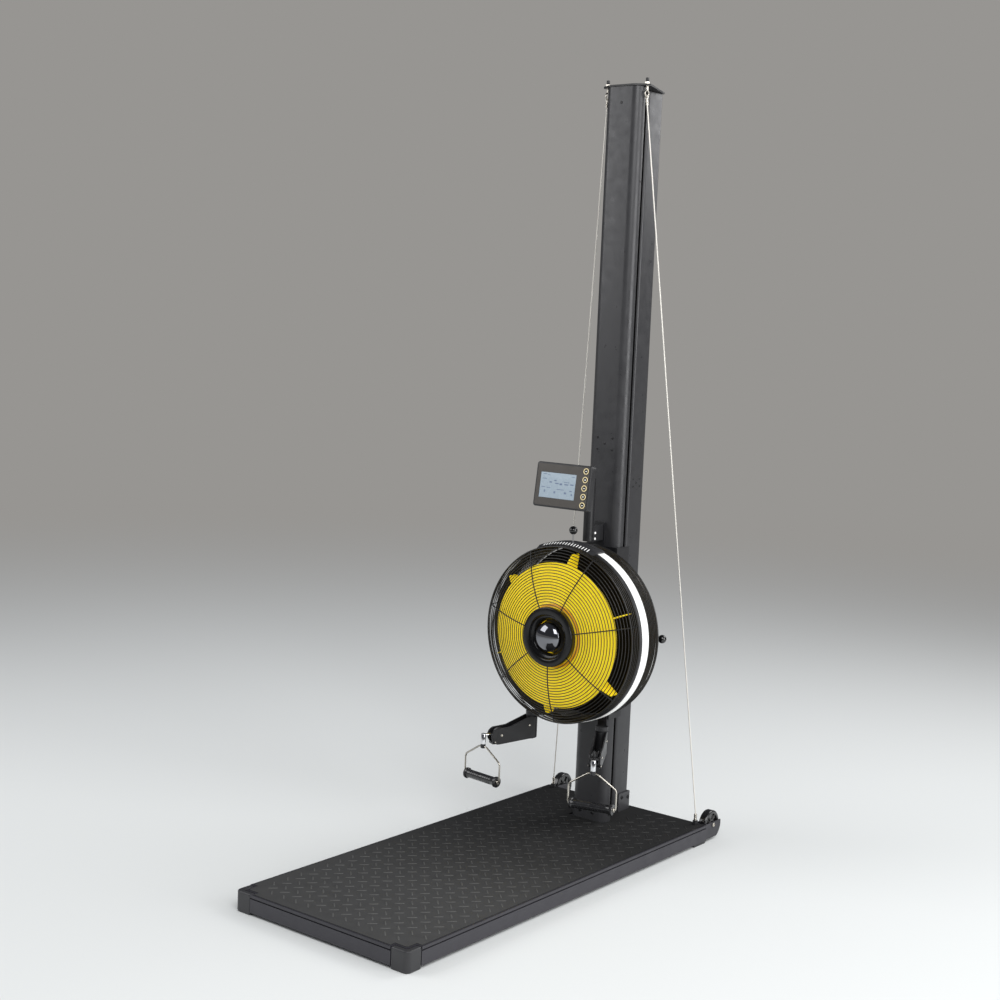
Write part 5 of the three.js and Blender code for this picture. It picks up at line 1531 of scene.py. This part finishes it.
@dataclass
class FanWheel:
    """The yellow fan wheel, its shaft, the chrome dome and the cord drum."""

    blades: int = 6
    blade_angle: float = 22.0
    rise: float = 12 * MM
    thick: float = 2.5 * MM
    boss_inner: float = 60 * MM
    boss_top: float = 82 * MM
    boss_foot: float = 106 * MM
    recess: Pair = (20.6 * MM, 51 * MM)
    skin: float = 0.25 * MM
    blade_back: float = 7 * MM
    disc: float = 209 * MM
    tip: float = 238 * MM
    root: float = 60 * MM
    hub: float = 24 * MM
    chamfer: float = 16 * MM
    blade_thick: float = 2.4 * MM
    shaft_radius: float = 10 * MM
    shaft_gap: float = 0.3 * MM
    dome_rise: float = 25 * MM
    dome_sleeve: float = 20 * MM
    groove: float = 33 * MM
    drum_lip: float = 3 * MM
    drum_edge: float = 0.6 * MM

    def build(self) -> None:
        """Build the turning parts."""
        self.wheel()
        self.shaft()
        self.dome()
        self.drum()

    def bore(self) -> float:
        """The radius of the holes that the shaft goes through."""
        return self.shaft_radius + self.shaft_gap

    def wheel(self) -> None:
        """Build the disc with its boss and rolled rim, a hub, radial blades with rounded corners, and a thin
        darker amber skin of painted shade on the boss's slope.
        """
        block = Block.of("fan_wheel")
        place = on_fan_axis(block.low.y)
        front, back, depth = self.rise, self.rise + self.thick, block.size.y
        inner, top, foot, rim, hub = self.boss_inner, self.boss_top, self.boss_foot, self.disc, self.hub
        shoulder = (top + 1.5 * MM, 0.6 * MM)
        wheel = Shaper().turned([
            (self.bore(), front), (inner - 1 * MM, front), (inner, front - 1 * MM), (inner, 1 * MM),
            (inner + 1 * MM, 0), (top - 2 * MM, 0), shoulder, (foot - 3 * MM, front - 0.9 * MM),
            (foot + 1 * MM, front), (rim - 0.8 * MM, front), (rim, front + 0.8 * MM),
            (rim, back + 1.5 * MM), (rim - 1.6 * MM, back + 1.5 * MM), (rim - 2.4 * MM, back),
            (hub + 5 * MM, back), (hub, back + 5 * MM), (hub - 1 * MM, depth), (self.bore(), depth),
        ], place, steps=160)
        end, inside = depth - self.blade_back, hub - 1 * MM
        blade = [
            (inside, back - 0.5 * MM), (rim - 1 * MM, back - 0.5 * MM), (rim + 9 * MM, back + 3 * MM),
            *arc((self.tip - 7 * MM, back + self.chamfer + 5 * MM), 7 * MM, -50, 0, 5),
            *arc((self.tip - 5 * MM, end - 5 * MM), 5 * MM, 0, 90, 5),
            (self.root, end), (inside, depth - self.chamfer),
        ]
        half = self.blade_thick / 2
        for i in range(self.blades):
            angle = math.radians(self.blade_angle) + FULL_TURN * i / self.blades
            wheel.raised(blade, -half, half, place @ Matrix.Rotation(angle, 4, "Z") @ Axis.Y.turn)
        wheel.piece("fan_wheel_moulding", FAN_YELLOW, "fan", ("fan_wheel",))
        # A thin darker amber skin on the boss's slope: painted shade round the hub ring.
        skin, slope = self.skin, (top + 10 * MM, 5.2 * MM)
        collar = [*((radius + skin, height - skin) for radius, height in (shoulder, slope)), slope, shoulder]
        Shaper().turned(collar, place, steps=160).piece("fan_wheel_collar", FAN_SHADE_AMBER, "fan")
        recess = Shaper().turned(bush(*self.recess, front - skin, front), place, steps=96)
        recess.piece("fan_wheel_recess", BLACK_PLASTIC, "fan")

    def shaft(self) -> None:
        """Build the shaft."""
        block = Block.of("fan_shaft")
        section = bush(0, self.shaft_radius, 0, block.size.y, 0.8 * MM)
        shaft = Shaper().turned(section, on_fan_axis(block.low.y), steps=40)
        shaft.piece("fan_shaft_bar", STEEL, "fan", ("fan_shaft",), crease=30)

    def dome(self) -> None:
        """Build the polished dome over the end of the shaft."""
        block = Block.of("hub_dome")
        radius, rise, depth = block.size.x / 2, self.dome_rise, block.size.y
        rim, roof = rise + 1.2 * MM, rise - 1.3 * MM
        angles = [math.radians(angle) for angle in range(0, 91, 5)]
        profile = [(radius * math.sin(a), rise * (1 - math.cos(a))) for a in angles]
        profile += [(radius, rim), (self.dome_sleeve, rim), (self.dome_sleeve, depth), (self.bore(), depth),
                    (self.bore(), roof), (0, roof)]
        dome = Shaper().turned(profile, on_fan_axis(block.low.y), steps=96)
        dome.piece("hub_dome_shell", SHADED_DOME_CHROME, "fan", ("hub_dome",))

    def drum(self) -> None:
        """Build the grooved drum that the pull cords turn."""
        block = Block.of("cord_drum")
        radius, half, bore = block.size.x / 2, block.size.y / 2, self.bore()
        groove, lip, edge = self.groove, self.drum_lip, self.drum_edge
        right = [(bore, half), (radius - edge, half), (radius, half - edge), (radius, half - lip),
                 (groove + 3 * MM, half - lip), (groove, half - lip - 3 * MM)]
        drum = Shaper().turned(mirrored(right), on_fan_axis(block.centre.y), steps=72)
        drum.piece("cord_drum_moulding", BLACK_PLASTIC, "fan", ("cord_drum",))


@dataclass
class Monitor:
    """The monitor on its post."""

    corner: float = 8 * MM
    depth: float = 26 * MM
    edge: float = 3 * MM
    edge_steps: int = 4
    tilt: float = 7.6
    width: float = 188 * MM
    height: float = 128 * MM
    hinge_back: float = 22 * MM
    barrel: float = 8 * MM
    barrel_width: float = 24 * MM
    lug: float = 6 * MM
    pocket: float = 16 * MM
    screen_size: Pair = (122 * MM, 72 * MM)
    screen_place: Pair = (-15 * MM, -1 * MM)
    screen_deep: float = 1.5 * MM
    border: float = 5 * MM
    key_x: float = 78 * MM
    key_pitch: float = 24 * MM
    key_radius: float = 9 * MM
    key_proud: float = 2.5 * MM
    key_deep: float = 4 * MM
    key_ring: float = 2.6 * MM
    well_deep: float = 6 * MM
    keys: int = 5
    post_radius: float = 15 * MM
    post_reach: float = 56.4 * MM
    post_joint: float = 20 * MM
    post_groove: float = 0.5 * MM
    beam: float = 10 * MM
    foot: float = 14 * MM
    foot_height: float = 46 * MM
    foot_screws: Pair = (7 * MM, 24 * MM)
    bars: tuple[tuple[float, float, float, float], ...] = (
        (-68, 29, 12, 1.6), (-52, 27, 8, 1.6), (30, 27, 12, 1.6), (-69, 16, 14, 1.6), (-28, 12, 8, 3),
        (6, 10, 18, 1.6), (-44, 6, 8, 4), (-24, 4, 12, 3), (-8, 2, 8, 5), (8, 3, 14, 3), (28, 4, 12, 3),
        (-70, -8, 12, 1.8), (-52, -9, 13, 1.8), (-16, -12, 24, 1.8), (28, -14, 8, 3), (-26, -23, 6, 6),
        (10, -22, 8, 5), (-60, -22, 4, 7), (34, -25, 5, 5))

    def build(self) -> None:
        """Build the monitor and its post."""
        self.post()
        self.housing()
        self.screen()
        for i, place in enumerate(self.keys_at()):
            self.button(i + 1, place)

    def face(self) -> Matrix:
        """The matrix of the monitor's front face: X right, Z up along the face, -Y out of it."""
        return (Matrix.Translation(joint_place("monitor_tilt"))
                @ Matrix.Rotation(math.radians(-self.tilt), 4, "X")
                @ Matrix.Translation((0, -self.hinge_back, 0)))

    def panel(self) -> Matrix:
        """The matrix of a flat form on the face: its own Z stands out of the face."""
        return self.face() @ Matrix(((1, 0, 0), (0, 0, -1), (0, 1, 0))).to_4x4()

    def post(self) -> None:
        """Build the post with its foot, arm and hinge barrel."""
        block = Block.of("monitor_post")
        pivot = joint_place("monitor_tilt")
        axis = Vector((block.centre.x, block.high.y - self.post_reach, block.low.z))
        half, foot, radius, tall = self.beam, self.foot, self.post_radius, block.size.z
        groove, joint = self.post_groove, self.post_joint
        section = [
            (0, 0), (radius - groove, 0), (radius, groove), (radius, joint - groove),
            (radius - groove, joint), (radius, joint + groove), (radius, tall - 1 * MM),
            (radius - 1 * MM, tall), (0, tall),
        ]
        build = Shaper().turned(section, Axis.Z.at(axis), steps=40)
        build.slab(Vector((-half, pivot.y, pivot.z - half)), Vector((half, axis.y, pivot.z + half)))
        build.slab(Vector((-foot, axis.y, axis.z)), Vector((foot, block.high.y, axis.z + self.foot_height)))
        reach = self.barrel_width / 2
        barrel = bush(self.barrel / 2 + 0.5 * MM, self.barrel, -reach, reach, 0.5 * MM)
        build.turned(barrel, Axis.X.at(pivot), steps=32)
        build.piece("monitor_post_tube", BLACK_PAINT, "carriage", ("monitor_post",))
        bright = Shaper()
        for side in Side:
            for rise in self.foot_screws:
                spot = Vector((side.value * foot, axis.y + 15.5 * MM, axis.z + rise))
                bright.screw(spot, side.outward, 3.6 * MM, 1.6 * MM)
        bright.piece("monitor_post_screws", TICK_WHITE, "carriage", crease=30)

    def outline(self, inset: float) -> Outline:
        """The outline of the housing, drawn in all round."""
        return rounded_box(self.width - 2 * inset, self.height - 2 * inset, self.corner - inset / 2, 8)

    def keys_at(self) -> Outline:
        """The middles of the buttons, from the top."""
        return [(self.key_x, self.key_pitch * ((self.keys - 1) / 2 - i)) for i in range(self.keys)]

    def openings(self, gap: float) -> tuple[Outline, list[Outline]]:
        """Give the outlines of the screen opening and the button wells.

        Args:
            gap: How much wider than the screen and the buttons they are.

        Returns:
            The screen's outline and the buttons' outlines.
        """
        x, y = self.screen_place
        wide, tall = (length + 2 * gap for length in self.screen_size)
        screen = [(x + i, y + j) for i, j in rounded_box(wide, tall, 1 * MM, 3)]
        return screen, [arc(place, self.key_radius + gap, 0, 348.75, 31) for place in self.keys_at()]

    def housing(self) -> None:
        """Build the housing with rounded edges, the screen recess, the button wells and the hinge lugs."""
        place = self.panel()
        turns = [FULL_TURN / 4 * i / self.edge_steps for i in range(self.edge_steps + 1)]
        rounding = [(self.edge * (1 - math.sin(turn)), self.edge * (1 - math.cos(turn))) for turn in turns]
        walls = [(rise - self.depth, self.outline(inset)) for inset, rise in rounding]
        walls += [(-rise, self.outline(inset)) for inset, rise in reversed(rounding)]
        screen, wells = self.openings(0.3 * MM)
        hinge, barrel, back = self.barrel_width / 2 + 0.3 * MM, self.barrel, self.depth
        sunk = ((screen, -self.screen_deep), *((well, -self.well_deep) for well in wells))
        pocket = [(-hinge, -self.pocket), (hinge, -self.pocket), (hinge, self.pocket), (-hinge, self.pocket)]
        floor = barrel + 0.8 * MM - self.hinge_back
        build = Shaper().milled(walls, place, front=sunk, back=((pocket, floor),))
        for near, far in ((-hinge - self.lug, -hinge), (hinge, hinge + self.lug)):
            build.slab(Vector((near, -barrel, -back - barrel)), Vector((far, barrel, 1 * MM - back)), place)
        pin = self.face() @ Matrix.Translation((0, self.hinge_back, 0)) @ Axis.X.turn
        end = hinge + 0.6 * MM
        build.turned(bush(0, barrel / 2, -end, end), pin, steps=24)
        build.piece("monitor_housing_shell", BLACK_PLASTIC, "monitor", ("monitor_housing",), crease=30)
        screen, wells = self.openings(0.5 * MM)
        sheet = [(-0.3 * MM, self.outline(self.border)), (0.1 * MM, self.outline(self.border)),
                 (0.25 * MM, self.outline(self.border + 0.2 * MM))]
        panel = Shaper().milled(sheet, place, through=(screen, *wells))
        panel.piece("monitor_face_panel", PANEL_PLASTIC, "monitor", crease=30)

    def screen(self) -> None:
        """Dress the screen and draw plain bars on it."""
        keep("monitor_screen", SCREEN_FACE, edge=0.2 * MM)
        place, ink = self.panel(), Shaper()
        for x, y, wide, tall in self.bars:
            ink.slab(Vector((x * MM, y * MM, -0.1 * MM)),
                     Vector(((x + wide) * MM, (y + tall) * MM, 0.05 * MM)), place)
        ink.piece("monitor_screen_bars", SCREEN_INK, "monitor", crease=30)

    def button(self, number: int, place: Pair) -> None:
        """Build a button: a dark key with a cream ring and a plain mark, which is a wedge on two of them.

        Args:
            number: Its number from the top.
            place: Its middle on the face.
        """
        body, name = f"button_{number}", f"monitor_button_{number}"
        spot = self.panel() @ Matrix.Translation((*place, 0))
        radius, top, width = self.key_radius, self.key_proud, self.key_ring
        edge, low, high = 0.5 * MM, top - 1 * MM, top - 0.7 * MM
        key = Shaper().turned(bush(0, radius - 0.2 * MM, -self.key_deep, top - 0.9 * MM), spot, steps=40)
        key.piece(f"{name}_key", BUTTON_BLACK, body, crease=30)
        ring = Shaper().turned([(radius - width, low), (radius, low), (radius, top - edge),
                                (radius - edge, top), (radius - width + edge, top),
                                (radius - width, top - edge)], spot, steps=40)
        ring.piece(f"{name}_ring", BUTTON_CREAM, body, (name,), crease=30)
        point = {2: 1, 4: -1}.get(number)
        if point:
            base, tip = -1.8 * MM * point, 3 * MM * point
            outline = [(-2.6 * MM, base), (2.6 * MM, base), (0, tip)]
        else:
            outline = rounded_box(5.6 * MM, 1.8 * MM, 0.8 * MM, 3)
        Shaper().raised(outline, low, high, spot).piece(f"{name}_mark", TICK_WHITE, body, crease=30)


@dataclass
class PullArm:
    """A pull arm: its mount, the two cheeks with their bolts, the pulley and the elbow to the handle."""

    splay: float = 27.0
    cheek: float = 4 * MM
    gap: float = 26 * MM
    barrel: float = 17 * MM
    barrel_chamfer: float = 3 * MM
    bore: float = 7.5 * MM
    heel: float = 14 * MM
    rise: float = 11 * MM
    tip: float = 112 * MM
    tip_rise: float = 24 * MM
    tip_radius: float = 24 * MM
    tip_end: float = 75.0
    nose: Pair = (78 * MM, 52 * MM)
    axle: Pair = (104 * MM, 27 * MM)
    axle_radius: float = 4 * MM
    foot_lip: float = 18 * MM
    foot_rise: Pair = (1 * MM, 7 * MM)
    screws: tuple[Triple, ...] = ((104, 27, 3.6), (15, 52, 3.4), (124, 8, 2.4))
    washer: float = 0.5 * MM
    hanger: Pair = (155 * MM, 28 * MM)
    hanger_gap: float = 3.5 * MM
    cross_bar: float = 130 * MM
    pin_radius: float = 4.5 * MM
    body_radius: float = 7 * MM
    body_crown: float = 5 * MM
    neck: float = 3.5 * MM
    head: float = 5.3 * MM
    head_depth: float = 5 * MM
    wheel_half: float = 7.5 * MM
    wheel_radius: float = 20 * MM
    wheel_bore: float = 4.5 * MM
    groove: float = 6 * MM

    def build(self) -> None:
        """Build both arms."""
        for side in Side:
            keep(f"arm_mount_{side}", BLACK_PAINT)
            self.arm(side)
            self.hanger_body(side)
            self.pulley(side)

    def turn(self, side: Side) -> Matrix:
        """The turn of an arm about its pivot, away from straight ahead."""
        return Matrix.Rotation(math.radians(side.value * self.splay), 4, "Z")

    def frame(self, side: Side) -> Matrix:
        """The matrix of an arm: its own -Y runs along the arm, and Z is up from the floor."""
        pivot = joint_place(f"{side}_arm_swing")
        return Matrix.Translation((pivot.x, pivot.y, 0)) @ self.turn(side)

    def arm(self, side: Side) -> None:
        """Build the two cheeks, the pivot barrel, the axle, the cross bar and the bolts.

        Args:
            side: The side it stands on.
        """
        block = Block.of(f"arm_{side}")
        body, upright = f"{side}_arm", self.frame(side)
        floor, high = block.low.z, block.high.z
        low, half = floor + self.rise, self.gap / 2
        place = upright @ Matrix(((0, 0, 1), (-1, 0, 0), (0, 1, 0))).to_4x4()
        outline = [
            (0, low), (self.heel, low),
            *arc((self.tip, floor + self.tip_rise), self.tip_radius, -90, self.tip_end, 22),
            (self.nose[0], floor + self.nose[1]), (self.heel, high), (0, high),
        ]
        build = Shaper()
        for inner in (-half - self.cheek, half):
            build.raised(outline, inner, inner + self.cheek, place)
        build.piece(f"arm_{side}_cheeks", BLACK_PAINT, body, (f"arm_{side}",), edge=0.8 * MM, crease=40)
        section = bush(self.bore, self.barrel, 0, high - low, self.barrel_chamfer)
        tube = Shaper().turned(section, upright @ Matrix.Translation((0, 0, low)), steps=40)
        reach, (lip_low, lip_high) = half + self.cheek / 2, self.foot_rise
        for along, rise, radius in ((*self.axle, self.axle_radius),
                                    (self.cross_bar, self.hanger[1], self.pin_radius)):
            ends = [place @ Vector((along, floor + rise, way * reach)) for way in (-1, 1)]
            tube.rod(*ends, radius)
        tube.slab(Vector((self.tip, floor + lip_low, -half)),
                  Vector((self.tip + self.foot_lip, floor + lip_high, half)), place)
        tube.piece(f"arm_{side}_barrel", BLACK_PAINT, body)
        dark, bright = Shaper(), Shaper()
        for way in (-1, 1):
            outward = (upright.to_3x3() @ Vector((way, 0, 0))).normalized()
            for along, rise, radius in self.screws:
                seat = place @ Vector((along * MM, floor + rise * MM, way * (half + self.cheek)))
                head = seat + outward * self.washer
                dark.rod(seat, head, 1.8 * radius * MM, sides=28, chamfer=0.2 * MM)
                bright.screw(head, outward, radius * MM, 1.6 * MM)
        dark.piece(f"arm_{side}_washers", BLACK_PLASTIC, body, crease=30)
        bright.piece(f"arm_{side}_screws", STEEL, body, crease=30)

    def hanger_body(self, side: Side) -> None:
        """Build the chrome pin at the arm's tip and the body that holds the handle's swivel.

        Args:
            side: The side it hangs on.
        """
        upright, (along, rise), radius = self.frame(side), self.hanger, self.body_radius
        z = Block.of(f"arm_{side}").low.z + rise
        start, end = (upright @ Vector((0, -reach, z)) for reach in (along, self.cross_bar))
        chrome = Shaper().rod(start, end, self.pin_radius, sides=28)
        low = Block.of(f"handle_bail_{side}").high.z + self.hanger_gap
        top = z + self.body_crown - low
        hole = Block.of(f"handle_swivel_{side}").high.z + 0.5 * MM - low
        step = hole - self.head_depth
        profile = [
            (self.neck, 0), (radius - 0.8 * MM, 0), (radius, 0.8 * MM), (radius, top - 2.2 * MM),
            (radius - 0.7 * MM, top - 0.8 * MM), (radius - 2.2 * MM, top), (0, top), (0, hole),
            (self.head, hole), (self.head, step), (self.neck, step),
        ]
        chrome.turned(profile, upright @ Matrix.Translation((0, -along, low)), steps=40)
        chrome.piece(f"arm_{side}_hanger", CHROME, f"{side}_arm")

    def pulley(self, side: Side) -> None:
        """Build the grooved pulley.

        Args:
            side: The side it turns on.
        """
        place = Matrix.Translation(joint_place(f"{side}_pulley_spin")) @ self.turn(side) @ Axis.X.turn
        half, radius, bore, soft = self.wheel_half, self.wheel_radius, self.wheel_bore, 1 * MM
        profile = [
            (bore, -half), (radius - soft, -half), (radius, soft - half),
            *arc((radius + soft, 0), self.groove, 250, 110),
            (radius, half - soft), (radius - soft, half), (bore, half),
        ]
        wheel = Shaper().turned(profile, place, steps=48)
        wheel.piece(f"arm_pulley_{side}_wheel", BLACK_PLASTIC, f"{side}_pulley", (f"arm_pulley_{side}",))


@dataclass
class Handle:
    """A pull handle: swivel, bent wire bail and ribbed grip."""

    turns: Pair = (-7.0, 13.6)
    wire: float = 2.5 * MM
    half: float = 71 * MM
    flat: float = 12 * MM
    shoulder: float = -38 * MM
    low: float = -94 * MM
    end_in: float = 14 * MM
    bend: float = 9 * MM
    bend_steps: int = 8
    grip_half: float = 64 * MM
    grip_radius: float = 12.5 * MM
    flange: float = 16 * MM
    flange_width: float = 6 * MM
    flange_round: float = 2 * MM
    bore: float = 3 * MM
    ribs: int = 5
    rib_half: float = 1.4 * MM
    rib_deep: float = 0.25 * MM
    collar_radius: float = 6 * MM
    collar_edge: float = 0.8 * MM

    def build(self) -> None:
        """Build both handles."""
        for side, turn in zip(Side, self.turns):
            keep(f"handle_swivel_{side}", BLACK_PLASTIC, edge=0.3 * MM, crease=50)
            pivot = Matrix.Translation(joint_place(f"{side}_bail_swing"))
            place = pivot @ Matrix.Rotation(math.radians(turn), 4, "Z")
            self.bail(side, place)
            self.grip(side, place @ Matrix.Translation((0, 0, self.low)) @ Axis.X.turn)

    def bail(self, side: Side, place: Matrix) -> None:
        """Bend the bail's wire.

        Args:
            side: The side it hangs on.
            place: The matrix of the bail, hung at its pivot.
        """
        right = [(self.flat, 0), (self.half, self.shoulder), (self.half, self.low),
                 (self.half - self.end_in, self.low)]
        corners = [Vector((x, 0, z)) for x, z in [*((-x, z) for x, z in reversed(right)), *right]]
        path = [corners[0]]
        for before, corner, after in zip(corners, corners[1:], corners[2:]):
            near = min(self.bend, (before - corner).length / 2.2, (after - corner).length / 2.2)
            entry = corner + (before - corner).normalized() * near
            leave = corner + (after - corner).normalized() * near
            for k in range(self.bend_steps + 1):
                t = k / self.bend_steps
                path.append(entry * (1 - t) ** 2 + corner * 2 * t * (1 - t) + leave * t ** 2)
        path.append(corners[-1])
        bail = Shaper().tube([place @ point for point in path], self.wire, sides=16)
        bail.piece(f"handle_bail_{side}_wire", STEEL, f"{side}_bail", (f"handle_bail_{side}",), crease=60)

    def grip(self, side: Side, place: Matrix) -> None:
        """Build the moulded grip with its end flanges and ribs, and the bright collars at its ends.

        Args:
            side: The side it hangs on.
            place: The matrix of a form that is turned about the grip's axis.
        """
        half, radius, flange, bore = self.grip_half, self.grip_radius, self.flange, self.bore
        soft, inside = self.flange_round, half - self.flange_width
        right = [
            (bore, half), (flange - soft, half), *arc((flange - soft, half - soft), soft, 90, 0, 4),
            (flange, inside), (radius + 1.5 * MM, inside - 2 * MM), (radius, inside - 5 * MM),
        ]
        for k in range(1, self.ribs + 1):
            z = (inside - 8 * MM) * (1 - k / (self.ribs + 1))
            right += [(radius, z + self.rib_half), (radius - self.rib_deep, z), (radius, z - self.rib_half)]
        grip = Shaper().turned(mirrored(right), place, steps=48)
        grip.piece(f"handle_grip_{side}_rubber", GRIP_RUBBER, f"{side}_grip", (f"handle_grip_{side}",),
                   crease=40)
        collars = Shaper()
        radius, edge = self.collar_radius, self.collar_edge
        start, end = half + 0.1 * MM, self.half - self.wire - 0.3 * MM
        for way in (-1, 1):
            ring = [(bore, start), (radius, start), (radius, end - edge), (radius - edge, end), (bore, end)]
            collars.turned([(r, way * z) for r, z in ring], place, steps=28)
        collars.piece(f"handle_grip_{side}_collars", STEEL, f"{side}_grip", crease=30)


def main() -> None:
    """Build the machine piece by piece."""
    logging.basicConfig(level=logging.INFO, format="%(message)s")
    for section in (Studio(), Deck(), TransportWheels(), Mast(), Carriage(), FanCage(), AirShutter(),
                    FanWheel(), Monitor(), PullArm(), Handle()):
        section.build()
        LOG.info("built %s", type(section).__name__)


if __name__ == "__main__":
    main()
